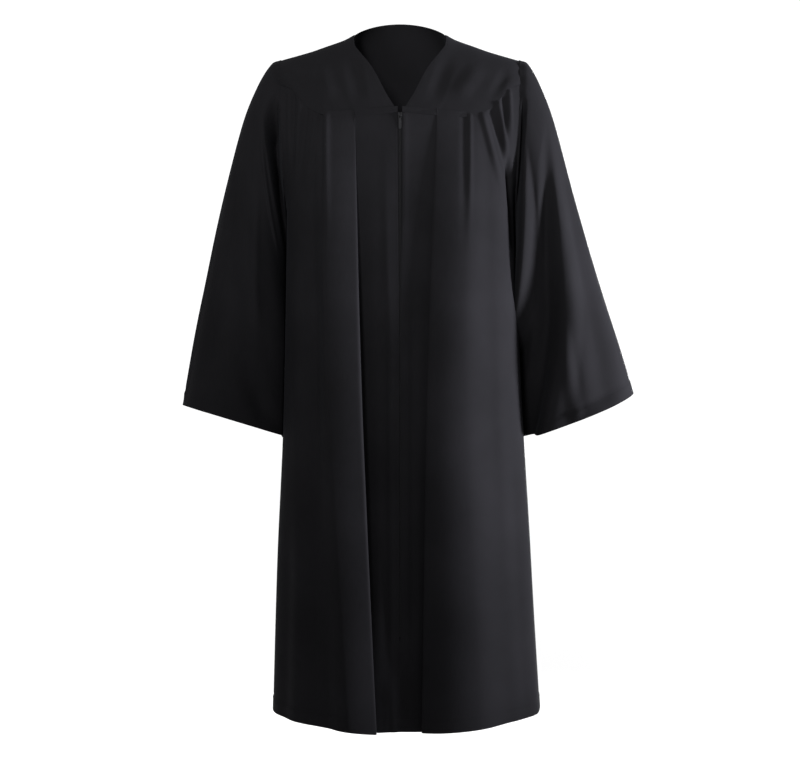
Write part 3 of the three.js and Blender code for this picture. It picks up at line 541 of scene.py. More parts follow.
def soften(grid, times, closed=False):
    """Round off the sharpest bends between neighbouring columns."""
    for _ in range(times):
        eased = (np.roll(grid, 1, axis=1) + 2 * grid + np.roll(grid, -1, axis=1)) / 4
        if not closed:
            eased[:, 0] = grid[:, 0]
            eased[:, -1] = grid[:, -1]
        grid = eased
    return grid


def panel_grid(face, seam_table, columns, creases):
    """The outer face of a body panel below its yoke, rows down, columns from one edge to the other."""
    grid = []
    for column in columns:
        side, angle, _ = column(np.array([FOLD_TOP_Z], float))
        at_top, _ = body_point(side, face, angle, np.array([FOLD_TOP_Z], float))
        seam_z = along(seam_table, "x", "z", np.abs(at_top[0, 0]))
        side_share = (angle / section(side, face, FOLD_TOP_Z)[3])[0]
        lift = HEM_SIDE_LIFT[int(np.sign(at_top[0, 0])) or RIGHT] * smooth(side_share)
        hem_z = HEM_Z + lift + HEM_CENTRE_LIFT * (1 - smooth(side_share / HEM_CENTRE_SHARE))
        z = heights_of(seam_z, hem_z)
        side, angle, rise = column(z)
        point, out = body_point(side, face, angle, z)
        across = point[:, 0] if face == BACK else np.abs(point[:, 0])
        loose = smooth((seam_z - z) / FOLD_GROWS_OVER) * (1 - smooth(side_share) ** SIDE_CALM_POWER)
        loose = loose * smooth(np.abs(point[:, 0]) / ZIP_CALM)
        free = 1 - smooth(side_share) ** EDGE_HOLD
        push = rise * fold_growth(seam_z, z) + crease_rise(creases, across, z) * free
        push += unevenness(point[:, 0] + face * PANEL_WAVE_SHIFT, z) * loose + hem_step(z - hem_z)
        push -= TUCK_IN * smooth((z - seam_z) / TUCK_UP)
        grid.append(point + out * push[:, None])
    return soften(np.stack(grid, axis=1), SOFTENING)


def yoke_curve(q, roundness):
    """The way a yoke curves forward or back as it drops."""
    return q * np.sqrt((2 - roundness * q * q) / (2 - roundness))


def seam_point(side, face, seam_table, x):
    """The place of a yoke seam at a distance across."""
    z = along(seam_table, "x", "z", x)
    point, _ = body_point(side, face, angle_at(side, face, x, z), z)
    return z, np.abs(point[..., 1])


def fold_rise_at(folds, across, z):
    """How far the folds below a yoke stand out at a distance across its seam."""
    rows = sorted((float(fold_across(fold, z)), float(fold_rise(fold, z))) for fold in folds)
    return np.interp(across, *zip(*rows))


def yoke_out(point, face, share):
    """The level way out of a yoke, leaning to the side towards the armhole."""
    lean = YOKE_LEAN * np.sign(point[..., 0]) * share
    out = np.stack([lean, face + 0 * lean, YOKE_LEAN + 0 * lean], -1)
    return out / np.linalg.norm(out, axis=-1, keepdims=True)


def front_yoke_grid(side):
    share = np.linspace(0, 1, YOKE_COLUMNS + 1)[None, :]
    q = np.linspace(0, 1, YOKE_ROWS + 1)[:, None]
    x_low = mix(ZIP_SLIT_HALF, armhole_x(along(FRONT_YOKE_SEAM, "x", "z", share * ARMHOLE_TOP_X)), share)
    z_low, y_low = seam_point(side, FRONT, FRONT_YOKE_SEAM, x_low)
    z_top = along(SHOULDER_SEAM, "x", "z", mix(SIDE_NECK_X, ARMHOLE_TOP_X, share))
    drop = z_top - z_low
    z = z_top - drop * q ** YOKE_DROP_POWER
    x = mix(along(V_NECK_EDGE, "down", "x", q), armhole_x(z), share)
    y = y_low * yoke_curve(q, share * drop / ARMHOLE_HALF_HEIGHT)
    point = np.stack([side * x, FRONT * y, z], -1)
    bulge = FOLD_AT_SEAM * fold_rise_at(FRONT_FOLDS[side], x_low, FOLD_TOP_Z) + YOKE_OVERLAP
    push = bulge * np.exp((z_low - z) / YOKE_BULGE_OVER) * smooth(q / YOKE_BULGE_STARTS)
    inside = smooth(q / YOKE_CALM_TOP) * smooth((1 - q) / YOKE_CALM_FOOT)
    ripple = crease_rise(YOKE_CREASES[side], x, z) + unevenness(point[..., 0], z)
    push = push + ripple * inside
    point = point + yoke_out(point, FRONT, share) * push[..., None]
    tucked = point[:1] + np.array([0, *SHOULDER_TUCK])
    return np.concatenate([tucked, point])


def back_yoke_grid():
    spread = np.linspace(-1, 1, 2 * YOKE_COLUMNS + 1)[None, :]
    share = np.abs(spread)
    side = np.where(spread < 0, LEFT, RIGHT)
    q = np.linspace(0, 1, YOKE_ROWS + 1)[:, None]
    turn = np.minimum(share / BACK_NECK_SHARE, 1) * QUARTER_TURN
    out = np.clip((share - BACK_NECK_SHARE) / (1 - BACK_NECK_SHARE), 0, 1)
    on_neck = share < BACK_NECK_SHARE
    shoulder_x = mix(SIDE_NECK_X, ARMHOLE_TOP_X, out)
    x_top = np.where(on_neck, SIDE_NECK_X * np.sin(turn), shoulder_x)
    y_top = np.where(on_neck, BACK_NECK_Y * np.cos(turn), 0)
    arch_z = SHOULDER_SEAM[0]["z"] + BACK_NECK_RISE * np.maximum(np.cos(turn), 0) ** BACK_NECK_RISE_POWER
    z_top = np.where(on_neck, arch_z, along(SHOULDER_SEAM, "x", "z", shoulder_x))
    x_low = share * armhole_x(along(BACK_YOKE_SEAM, "x", "z", share * ARMHOLE_TOP_X))
    z_low, y_low = seam_point(side, BACK, BACK_YOKE_SEAM, x_low)
    drop = z_top - z_low
    fallen = q ** mix(BACK_NECK_DROP_POWER, YOKE_DROP_POWER, smooth(share / BACK_NECK_SHARE))
    z = z_top - drop * fallen
    y = mix(y_top, y_low, yoke_curve(q, share * drop / ARMHOLE_HALF_HEIGHT))
    point = np.stack([side * mix(x_top, x_low, fallen), y, z], -1)
    bulge = FOLD_AT_SEAM * fold_rise_at(BACK_FOLDS, side * x_low, FOLD_TOP_Z) + YOKE_OVERLAP
    push = bulge * np.exp((z_low - z) / YOKE_BULGE_OVER) * smooth(q / YOKE_BULGE_STARTS)
    inside = smooth(q / YOKE_CALM_TOP) * smooth((1 - q) / YOKE_CALM_FOOT)
    ripple = crease_rise(BACK_YOKE_CREASES, point[..., 0], z) + unevenness(point[..., 0], z)
    push = push + ripple * inside
    return point + yoke_out(point, BACK, share) * push[..., None]


def body_half_width(side, y, z):
    front = along(BODY_SECTIONS, "z", "front", z)
    back = along(BODY_SECTIONS, "z", "back", z)
    share = np.minimum(np.abs(y) / np.where(y < 0, front, back), 1)
    power = along(BODY_SECTIONS, "z", "power", z)
    return side_width(side, z) * (1 - share ** power) ** (1 / power)


def sleeve_fold_rise(side, place, degrees):
    total = 0
    for fold in SLEEVE_FOLDS[side]:
        rows = [dict(along=down, degrees=turn, rise=rise) for down, turn, rise in fold["path"]]
        apart = np.abs(degrees - along(rows, "along", "degrees", place))
        near = np.minimum(apart, 360 - apart) / fold["spread"]
        total = total + along(rows, "along", "rise", place) * (1 - smooth(near))
    return total


def sleeve_creases(side):
    """The smaller creases with their places turned into distances."""
    def placed(place):
        return place[0] * SLEEVE_MM_PER_DEGREE, place[1] * SLEEVE_LENGTH
    creases = []
    for crease in SLEEVE_CREASES[side]:
        creases.append(dict(crease, start=placed(crease["start"]), end=placed(crease["end"])))
    return creases


def sleeve_grid(side):
    """The outer face of a sleeve, as rings from inside the armhole to the hem."""
    place = (np.linspace(0, 1, SLEEVE_ROWS + 1) ** SLEEVE_ROW_POWER)[:, None]
    ring = {want: along(SLEEVE_RINGS[side], "along", want, place) for want in SLEEVE_RINGS[side][0]}
    beside_body = body_half_width(side, ring["tuck"], ring["inner_z"]) + SLEEVE_CLEAR
    inner_x = np.minimum(beside_body, ring["outer"])
    inner_x[0] = ARMHOLE_BOTTOM_X
    turn = np.linspace(0, 2 * math.pi, SLEEVE_COLUMNS, endpoint=False)[None, :] * -side
    degrees = np.degrees(turn) % 360
    frontness = np.sin(turn)
    depth = np.where(frontness > 0, ring["front"], ring["back"])
    above_hem = (1 - place) * SLEEVE_LENGTH
    rise = sleeve_fold_rise(side, place, degrees)
    rise = rise + crease_rise(sleeve_creases(side), degrees * SLEEVE_MM_PER_DEGREE, place * SLEEVE_LENGTH)
    rise = rise * smooth(place / HEAD_HOLD)
    rise = rise + HEAD_PUCKER_RISE * np.exp(-place / HEAD_PUCKER_LENGTH) * np.sin(HEAD_PUCKERS * turn)
    waves = unevenness(SLEEVE_WAVE_REACH * np.sin(turn) + SLEEVE_WAVE_SHIFT * side, place * SLEEVE_LENGTH)
    rise = rise + waves * smooth(place / SLEEVE_WAVE_STARTS)
    swell = 1 + (rise + hem_step(above_hem)) / depth
    x = mix(inner_x, ring["outer"], (1 + np.cos(turn) * swell) / 2)
    y = ring["tuck"] * (1 - np.cos(turn) * swell) / 2 - depth * frontness * swell
    z = mix(ring["inner_z"], ring["outer_z"], (1 + np.cos(turn) * swell) / 2)
    z = z - SLEEVE_HEM_DROOP[side] * place ** SLEEVE_DROOP_POWER * np.maximum(frontness, 0)
    clear = np.where(z > UNDERARM_Z, armhole_x(z), body_half_width(side, y, z) + SLEEVE_CLEAR)
    point = np.stack([side * np.maximum(x, clear), y, z], -1)
    tucked = []
    middle = point[:1].mean(axis=1, keepdims=True)
    for share in np.linspace(1, 0, SLEEVE_TUCK_ROWS, endpoint=False):
        shrunk = mix(point[:1], middle, SLEEVE_TUCK_SHARE * share)
        shrunk[..., 0] = point[:1, :, 0] - side * SLEEVE_TUCK_X * share
        tucked.append(shrunk)
    return np.concatenate(tucked + [point])


# Meshes and the pieces made of them
CLOTH_UV = "cloth"
CUT_EDGE_ANGLE = 70


def face_corners(values):
    """The values at the four corners of each face of a grid, in order round the face."""
    return np.stack([values[:-1, :-1], values[1:, :-1], values[1:, 1:], values[:-1, 1:]], 2)


def grid_mesh(name, grid, closed=False):
    """A smooth mesh on a grid of points, with its lengths across and down as a UV map in metres."""
    rows, columns = grid.shape[:2]
    if closed:
        grid = np.concatenate([grid, grid[:, :1]], axis=1)
    points = grid * MM
    across = np.linalg.norm(np.diff(points, axis=1), axis=-1).mean(axis=0)
    down = np.linalg.norm(np.diff(points, axis=0), axis=-1).mean(axis=1)
    u = np.concatenate([[0], np.cumsum(across)])
    v = -np.concatenate([[0], np.cumsum(down)])
    column = np.arange(grid.shape[1])
    vertex = np.arange(rows)[:, None] * columns + (column % columns)[None, :]
    faces = face_corners(vertex).reshape(-1, 4)
    wide = np.broadcast_to(u[None, :], vertex.shape)
    long = np.broadcast_to(v[:, None], vertex.shape)
    uv = face_corners(np.stack([wide, long], -1))
    mesh = bpy.data.meshes.new(name)
    mesh.from_pydata(points[:, :columns].reshape(-1, 3).tolist(), [], faces.tolist())
    mesh.uv_layers.new(name=CLOTH_UV).data.foreach_set("uv", uv.reshape(-1))
    mesh.polygons.foreach_set("use_smooth", [True] * len(mesh.polygons))
    mesh.update()
    return mesh


def put_in_scene(mesh, material):
    piece = bpy.data.objects.new(mesh.name, mesh)
    bpy.context.scene.collection.objects.link(piece)
    if not mesh.materials:
        mesh.materials.append(material)
    return piece


def belongs(piece, body, node):
    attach(piece, body)
    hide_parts(node)


def cloth_piece(name, grid, node, material, thickness=CLOTH_THICKNESS, closed=False):
    """A sheet of cloth with its thickness behind the outer face and crisp cut edges."""
    face = grid_mesh(name + "_face", grid, closed)
    piece = put_in_scene(face, material)
    wall = piece.modifiers.new("thickness", "SOLIDIFY")
    wall.thickness = thickness * MM
    wall.offset = -1
    graph = bpy.context.evaluated_depsgraph_get()
    mesh = bpy.data.meshes.new_from_object(piece.evaluated_get(graph), depsgraph=graph)
    mesh.name = name
    mesh.set_sharp_from_angle(angle=math.radians(CUT_EDGE_ANGLE))
    piece.modifiers.clear()
    piece.name = name
    piece.data = mesh
    bpy.data.meshes.remove(face)
    belongs(piece, "gown", node)
    return piece


# Materials
class Shader:
    """A surface finish in the making, with short ways to add to it."""

    def __init__(self, name):
        self.material = bpy.data.materials.new(name)
        self.material.use_nodes = True
        self.nodes = self.material.node_tree.nodes
        self.links = self.material.node_tree.links
        self.surface = next(node for node in self.nodes if node.type == "BSDF_PRINCIPLED")

    def set(self, **values):
        for socket, value in values.items():
            self.surface.inputs[socket.replace("_", " ")].default_value = value

    def add(self, kind, inputs=(), **settings):
        node = self.nodes.new(kind)
        for setting, value in settings.items():
            setattr(node, setting, value)
        for socket, value in dict(inputs).items():
            if isinstance(value, bpy.types.NodeSocket):
                self.links.new(value, node.inputs[socket])
            else:
                node.inputs[socket].default_value = value
        return node.outputs[0]

    def math(self, operation, a, b=0.0):
        return self.add("ShaderNodeMath", {0: a, 1: b}, operation=operation)

    def spread(self, value, given, wanted):
        """A value moved from one range to another."""
        ends = {"From Min": given[0], "From Max": given[1], "To Min": wanted[0], "To Max": wanted[1]}
        return self.add("ShaderNodeMapRange", {"Value": value, **ends})

    def link(self, output, socket):
        self.links.new(output, self.surface.inputs[socket])


THREAD_PITCH = 0.0006
SLUB_SCALE = (900.0, 45.0, 1.0)
SLUB_DETAIL = 2.0
PATCH_SCALE = 7.0
PATCH_DETAIL = 3.0
SLUB_SHARE = 0.4
PATCH_SHARE = 0.6
SHADE_RANGE = (0.35, 0.65)
SLUB_RANGE = (0.3, 0.7)
ROUGHNESS_SPREAD = 0.05
WEAVE_HEIGHT = 0.5
RELIEF_DEPTH = 0.0002
SHEEN_ROUGHNESS = 0.45
SHEEN_TINT = (0.82, 0.86, 1.0, 1.0)
CLOTH_SPECULAR = 0.015
MIX_SHARE = 0
MIX_DARK = 6
MIX_LIGHT = 7
MIX_COLOUR = 2


def woven(name, dark, light, roughness, bump, sheen, diagonal=False):
    """Plain-woven cloth, or a twill tape, with slight slubs and uneven shade."""
    shader = Shader(name)
    uv = shader.add("ShaderNodeUVMap", uv_map=CLOTH_UV)
    parts = shader.nodes.new("ShaderNodeSeparateXYZ")
    shader.links.new(uv, parts.inputs[0])
    turns = 2 * math.pi / THREAD_PITCH
    down = parts.outputs[1]
    if diagonal:
        down = shader.math("ADD", parts.outputs[0], parts.outputs[1])
    warp = shader.math("SINE", shader.math("MULTIPLY", parts.outputs[0], turns))
    weft = shader.math("SINE", shader.math("MULTIPLY", down, turns))
    weave = shader.math("MULTIPLY", warp, weft)
    stretched = shader.add("ShaderNodeMapping", {"Vector": uv, "Scale": SLUB_SCALE})
    slub = shader.add("ShaderNodeTexNoise", {"Vector": stretched, "Scale": 1.0, "Detail": SLUB_DETAIL})
    patch = shader.add("ShaderNodeTexNoise", {"Vector": uv, "Scale": PATCH_SCALE, "Detail": PATCH_DETAIL})
    fine = shader.math("MULTIPLY", slub, SLUB_SHARE)
    broad = shader.math("MULTIPLY", patch, PATCH_SHARE)
    shade = shader.math("ADD", fine, broad)
    colour = shader.nodes.new("ShaderNodeMix")
    colour.data_type = "RGBA"
    spread = shader.spread(shade, SHADE_RANGE, (0.0, 1.0))
    shader.links.new(spread, colour.inputs[MIX_SHARE])
    colour.inputs[MIX_DARK].default_value = dark
    colour.inputs[MIX_LIGHT].default_value = light
    shader.link(colour.outputs[MIX_COLOUR], "Base Color")
    rough = shader.spread(slub, SLUB_RANGE, (roughness - ROUGHNESS_SPREAD, roughness + ROUGHNESS_SPREAD))
    shader.link(rough, "Roughness")
    height = shader.math("ADD", shader.math("MULTIPLY", weave, WEAVE_HEIGHT), slub)
    relief = shader.add("ShaderNodeBump", {"Strength": bump, "Distance": RELIEF_DEPTH, "Height": height})
    shader.link(relief, "Normal")
    shader.set(Sheen_Weight=sheen, Sheen_Roughness=SHEEN_ROUGHNESS, Specular_IOR_Level=CLOTH_SPECULAR)
    shader.surface.inputs["Sheen Tint"].default_value = SHEEN_TINT
    return shader.material


def plain(name, colour, roughness, metallic=0.0, specular=0.5):
    shader = Shader(name)
    shader.set(Base_Color=colour, Roughness=roughness, Metallic=metallic, Specular_IOR_Level=specular)
    return shader.material


gown_cloth = woven(
    "gown_cloth",
    dark=(0.0025, 0.00245, 0.00275, 1),
    light=(0.0037, 0.0036, 0.0041, 1),
    roughness=0.88,
    bump=0.25,
    sheen=0.004,
)
tape_cloth = woven(
    "zip_tape",
    dark=(0.0022, 0.0022, 0.0025, 1),
    light=(0.0034, 0.0034, 0.0038, 1),
    roughness=0.8,
    bump=0.4,
    sheen=0.003,
    diagonal=True,
)
tooth_nylon = plain("zip_teeth", colour=(0.0062, 0.0062, 0.0067, 1), roughness=0.6, specular=0.03)
thread = plain("thread", colour=(0.0036, 0.0036, 0.004, 1), roughness=0.75, specular=0.02)
zip_metal = plain("zip_metal", colour=(0.0045, 0.0045, 0.0048, 1), roughness=0.55, metallic=1.0)

# Repeats along a path: a shape at even steps, turned to follow it, with its sizes in metres
STITCH_PITCH = 0.0034
STITCH_SIZE = (0.00035, 0.0003, 0.0012)
STITCH_SEGMENTS = 6
STITCH_RINGS = 4
TOOTH_PITCH = 0.0016
TOOTH_SIDES = 8
TOOTH_RADIUS = 0.00055
TOOTH_LENGTH = 0.0026


def path_mesh(name, points):
    mesh = bpy.data.meshes.new(name)
    edges = [(k, k + 1) for k in range(len(points) - 1)]
    mesh.from_pydata((np.asarray(points) * MM).tolist(), edges, [])
    return mesh


def repeat_tree(name, shape_nodes):
    """A node group that sets a shape at even steps along the edges of a path."""
    tree = bpy.data.node_groups.new(name, "GeometryNodeTree")
    tree.interface.new_socket("Path", in_out="INPUT", socket_type="NodeSocketGeometry")
    tree.interface.new_socket("Pitch", in_out="INPUT", socket_type="NodeSocketFloat")
    tree.interface.new_socket("Material", in_out="INPUT", socket_type="NodeSocketMaterial")
    tree.interface.new_socket("Repeats", in_out="OUTPUT", socket_type="NodeSocketGeometry")
    given = tree.nodes.new("NodeGroupInput")
    done = tree.nodes.new("NodeGroupOutput")
    curve = tree.nodes.new("GeometryNodeMeshToCurve")
    even = tree.nodes.new("GeometryNodeResampleCurve")
    tangent = tree.nodes.new("GeometryNodeInputTangent")
    turned = tree.nodes.new("FunctionNodeAlignRotationToVector")
    spread = tree.nodes.new("GeometryNodeInstanceOnPoints")
    real = tree.nodes.new("GeometryNodeRealizeInstances")
    paint = tree.nodes.new("GeometryNodeSetMaterial")
    even.mode = "LENGTH"
    turned.axis = "Z"
    link = tree.links.new
    link(given.outputs["Path"], curve.inputs[0])
    link(curve.outputs[0], even.inputs["Curve"])
    link(given.outputs["Pitch"], even.inputs["Length"])
    link(tangent.outputs[0], turned.inputs["Vector"])
    link(even.outputs[0], spread.inputs["Points"])
    link(shape_nodes(tree), spread.inputs["Instance"])
    link(turned.outputs[0], spread.inputs["Rotation"])
    link(spread.outputs[0], real.inputs[0])
    link(real.outputs[0], paint.inputs["Geometry"])
    link(given.outputs["Material"], paint.inputs["Material"])
    link(paint.outputs[0], done.inputs[0])
    return tree


def stitch_shape(tree):
    """A short rounded length of thread."""
    bead = tree.nodes.new("GeometryNodeMeshUVSphere")
    bead.inputs["Segments"].default_value = STITCH_SEGMENTS
    bead.inputs["Rings"].default_value = STITCH_RINGS
    bead.inputs["Radius"].default_value = 1.0
    sized = tree.nodes.new("GeometryNodeTransform")
    sized.inputs["Scale"].default_value = STITCH_SIZE
    tree.links.new(bead.outputs[0], sized.inputs["Geometry"])
    return sized.outputs[0]


def tooth_shape(tree):
    """One turn of the zip's nylon coil, lying across the tape."""
    coil = tree.nodes.new("GeometryNodeMeshCylinder")
    coil.inputs["Vertices"].default_value = TOOTH_SIDES
    coil.inputs["Radius"].default_value = TOOTH_RADIUS
    coil.inputs["Depth"].default_value = TOOTH_LENGTH
    across = tree.nodes.new("GeometryNodeTransform")
    across.inputs["Rotation"].default_value = (0, QUARTER_TURN, 0)
    tree.links.new(coil.outputs[0], across.inputs["Geometry"])
    return across.outputs[0]


stitch_tree = repeat_tree("stitches", stitch_shape)
tooth_tree = repeat_tree("teeth", tooth_shape)


def repeats(name, points, tree, pitch, material, node):
    """A piece made of one shape repeated along a path."""
    carrier = bpy.data.objects.new(name + "_path", path_mesh(name + "_path", points))
    bpy.context.scene.collection.objects.link(carrier)
    steps = carrier.modifiers.new("repeats", "NODES")
    steps.node_group = tree
    sockets = {item.name: item.identifier for item in tree.interface.items_tree if item.in_out == "INPUT"}
    steps[sockets["Pitch"]] = pitch
    steps[sockets["Material"]] = material
    graph = bpy.context.evaluated_depsgraph_get()
    mesh = bpy.data.meshes.new_from_object(carrier.evaluated_get(graph), depsgraph=graph)
    mesh.name = name
    bpy.data.objects.remove(carrier)
    mesh.polygons.foreach_set("use_smooth", [True] * len(mesh.polygons))
    piece = put_in_scene(mesh, material)
    belongs(piece, "gown", node)
    return piece


def stitched(name, points, node):
    return repeats(name, points, stitch_tree, STITCH_PITCH, thread, node)


# Cloth pieces with their stitching
HEM_STITCH_ROW = -5
SLEEVE_STITCH_ROW = -4
ZIP_STITCH_COLUMN = 1
NECK_STITCH_COLUMN = 2
NECK_STITCH_ROW = 2
zip_rows = slice(TUCK_ROWS, TUCK_ROWS + UPPER_ROWS + MIDDLE_ROWS)

for side in (LEFT, RIGHT):
    label = SIDE_NAME[side]
    front = panel_grid(FRONT, FRONT_YOKE_SEAM, front_columns(side), FRONT_CREASES[side])
    yoke = front_yoke_grid(side)
    sleeve = sleeve_grid(side)
    front_stitches = [
        stitched(f"hem_stitches_{label}", front[HEM_STITCH_ROW], f"front_{label}"),
        stitched(f"zip_stitches_{label}", front[zip_rows, ZIP_STITCH_COLUMN], f"front_{label}"),
    ]
    neck_stitches = stitched(f"neck_stitches_{label}", yoke[1:, NECK_STITCH_COLUMN], f"yoke_front_{label}")
    ring = np.concatenate([sleeve[SLEEVE_STITCH_ROW], sleeve[SLEEVE_STITCH_ROW, :1]])
    sleeve_stitches = stitched(f"sleeve_stitches_{label}", ring, f"sleeve_{label}")
    if side == LEFT:
        front = front[:, ::-1]
        yoke = yoke[:, ::-1]
    front_piece = cloth_piece(f"front_{label}_cloth", front, f"front_{label}", gown_cloth)
    yoke_piece = cloth_piece(f"yoke_front_{label}_cloth", yoke, f"yoke_front_{label}", gown_cloth)
    sleeve_piece = cloth_piece(f"sleeve_{label}_cloth", sleeve, f"sleeve_{label}", gown_cloth, closed=True)

back = panel_grid(BACK, BACK_YOKE_SEAM, back_columns(), BACK_CREASES)
back_yoke = back_yoke_grid()
neck_columns = np.abs(np.linspace(-1, 1, back_yoke.shape[1])) < BACK_NECK_SHARE
back_stitches = stitched("hem_stitches_back", back[HEM_STITCH_ROW], "back")
back_neck_stitches = stitched("neck_stitches_back", back_yoke[NECK_STITCH_ROW, neck_columns], "yoke_back")
back_piece = cloth_piece("back_cloth", back[:, ::-1], "back", gown_cloth)
back_yoke_piece = cloth_piece("yoke_back_cloth", back_yoke[:, ::-1], "yoke_back", gown_cloth)


# Zip: tapes behind the fronts' edges, the coil along their inner edges
CLOTH_WALL = 1.6
TAPE_CLEAR = 0.5
TAPE_WALL = 0.8
TAPE_INNER = 0.4
TAPE_WIDTH = 13
TAPE_TOP_Z = ZIP_TOP_Z - 4.4
TAPE_ROWS = 140
TAPE_COLUMNS = 10
COIL_X = 1.35
COIL_PROUD = 0.45


def tape_face_y(z):
    return -along(BODY_SECTIONS, "z", "front", z) + CLOTH_WALL + TAPE_CLEAR


for side in (LEFT, RIGHT):
    label = SIDE_NAME[side]
    node = f"zip_tape_{label}"
    z = np.linspace(TAPE_TOP_Z, ZIP_END_Z, TAPE_ROWS)[:, None]
    x = np.linspace(TAPE_INNER, TAPE_WIDTH, TAPE_COLUMNS)[None, :]
    grid = np.stack([side * x + 0 * z, tape_face_y(z) + 0 * x, z + 0 * x], -1)
    if side == LEFT:
        grid = grid[:, ::-1]
    tape = cloth_piece(f"{node}_weave", grid, node, tape_cloth, TAPE_WALL)
    z = np.linspace(TAPE_TOP_Z, ZIP_END_Z, TAPE_ROWS)
    coil = np.stack([side * COIL_X + 0 * z, tape_face_y(z) - COIL_PROUD, z], -1)
    teeth = repeats(f"zip_teeth_{label}", coil, tooth_tree, TOOTH_PITCH, tooth_nylon, node)

# Slider and pull, at the top of the zip
SLIDER_TOP_Z = ZIP_TOP_Z - 0.15
SLIDER_LENGTH = 12
SLIDER_TOP_HALF = 3.4
SLIDER_FOOT_HALF = 2.5
SLIDER_SHOULDER_Z = -0.42 * SLIDER_LENGTH
SLIDER_WAIST_Z = -0.62 * SLIDER_LENGTH
SLIDER_PLATE = 1.2
SLIDER_REAR_DROP = 5.3
POST_HALF = 0.9
POST_LENGTH = 2.6
CROWN_Z = SLIDER_TOP_Z - 6.2
CROWN_HALF_WIDTH = 1.0
CROWN_HALF_LENGTH = 3.0
CROWN_HOLE_HALF = 1.8
CROWN_INNER = 2.4
CROWN_BAR = 1.1
CROWN_FOOT = 0.3
CROWN_ROUND = 1.6
PULL_AXIS_Y = -120.98
PLATE_FRONT_Y = PULL_AXIS_Y + CROWN_INNER / 2
PULL_HALF = 2.6
PULL_LENGTH = 24
PULL_THICKNESS = 1.2
PULL_SLOT_HALF = 1.6
PULL_BAR = 0.7
PULL_SLOT_END = 4.4
METAL_BEVEL = 0.2
METAL_BEVEL_STEPS = 2
SAME_POINT = 1e-6
ROUND_STEPS = 10
FLAT_TO_FRONT = np.array([[1, 0, 0], [0, 0, -1], [0, 1, 0]])
FLAT_TO_SIDE = np.array([[0, 0, 1], [1, 0, 0], [0, 1, 0]])


def arc(centre, radius, start, end):
    turns = np.radians(np.linspace(start, end, ROUND_STEPS))
    return [(centre[0] + radius * math.cos(t), centre[1] + radius * math.sin(t)) for t in turns]


def plate_mesh(name, outlines, thickness, turn, middle):
    """A flat plate with rounded edges, from its outline and any holes in it."""
    curve = bpy.data.curves.new(name, "CURVE")
    curve.dimensions = "2D"
    curve.fill_mode = "BOTH"
    curve.extrude = (thickness / 2 - METAL_BEVEL) * MM
    curve.bevel_depth = METAL_BEVEL * MM
    curve.bevel_resolution = METAL_BEVEL_STEPS
    curve.offset = -METAL_BEVEL * MM
    for outline in outlines:
        spline = curve.splines.new("POLY")
        spline.points.add(len(outline) - 1)
        for point, (a, b) in zip(spline.points, outline):
            point.co = (a * MM, b * MM, 0, 1)
        spline.use_cyclic_u = True
    carrier = bpy.data.objects.new(name, curve)
    bpy.context.scene.collection.objects.link(carrier)
    graph = bpy.context.evaluated_depsgraph_get()
    mesh = bpy.data.meshes.new_from_object(carrier.evaluated_get(graph), depsgraph=graph)
    bpy.data.objects.remove(carrier)
    flat = np.array([vertex.co[:] for vertex in mesh.vertices])
    placed = flat @ turn.T + np.array(middle) * MM
    mesh.vertices.foreach_set("co", placed.reshape(-1))
    mesh.update()
    return mesh


def joined(name, meshes, material):
    """Several meshes as one, with their doubled points merged."""
    work = bmesh.new()
    for mesh in meshes:
        work.from_mesh(mesh)
        bpy.data.meshes.remove(mesh)
    bmesh.ops.remove_doubles(work, verts=work.verts, dist=SAME_POINT)
    bmesh.ops.recalc_face_normals(work, faces=work.faces)
    whole = bpy.data.meshes.new(name)
    work.to_mesh(whole)
    work.free()
    return put_in_scene(whole, material)


shield = [
    (-SLIDER_TOP_HALF, 0),
    (SLIDER_TOP_HALF, 0),
    (SLIDER_TOP_HALF, SLIDER_SHOULDER_Z),
    (SLIDER_FOOT_HALF, SLIDER_WAIST_Z),
    (SLIDER_FOOT_HALF, -SLIDER_LENGTH),
    (-SLIDER_FOOT_HALF, -SLIDER_LENGTH),
    (-SLIDER_FOOT_HALF, SLIDER_WAIST_Z),
    (-SLIDER_TOP_HALF, SLIDER_SHOULDER_Z),
][::-1]
post = [(-POST_HALF, -POST_LENGTH), (POST_HALF, -POST_LENGTH), (POST_HALF, 0), (-POST_HALF, 0)]
crown_tall = CROWN_INNER + CROWN_BAR
crown_arch = [
    (0, -CROWN_HALF_LENGTH),
    (0, CROWN_HALF_LENGTH),
    *arc((CROWN_ROUND - crown_tall, CROWN_HALF_LENGTH - CROWN_ROUND), CROWN_ROUND, 90, 180),
    *arc((CROWN_ROUND - crown_tall, CROWN_ROUND - CROWN_HALF_LENGTH), CROWN_ROUND, 180, 270),
][::-1]
crown_hole = [
    (-CROWN_FOOT, -CROWN_HOLE_HALF),
    (-CROWN_FOOT, CROWN_HOLE_HALF),
    (-CROWN_INNER, CROWN_HOLE_HALF),
    (-CROWN_INNER, -CROWN_HOLE_HALF),
]
front_middle = (0, PLATE_FRONT_Y + SLIDER_PLATE / 2, SLIDER_TOP_Z)
rear_middle = (0, PLATE_FRONT_Y + SLIDER_REAR_DROP, SLIDER_TOP_Z)
post_middle = (0, PLATE_FRONT_Y + SLIDER_REAR_DROP / 2, SLIDER_TOP_Z)
crown_middle = (0, PLATE_FRONT_Y + METAL_BEVEL, CROWN_Z)
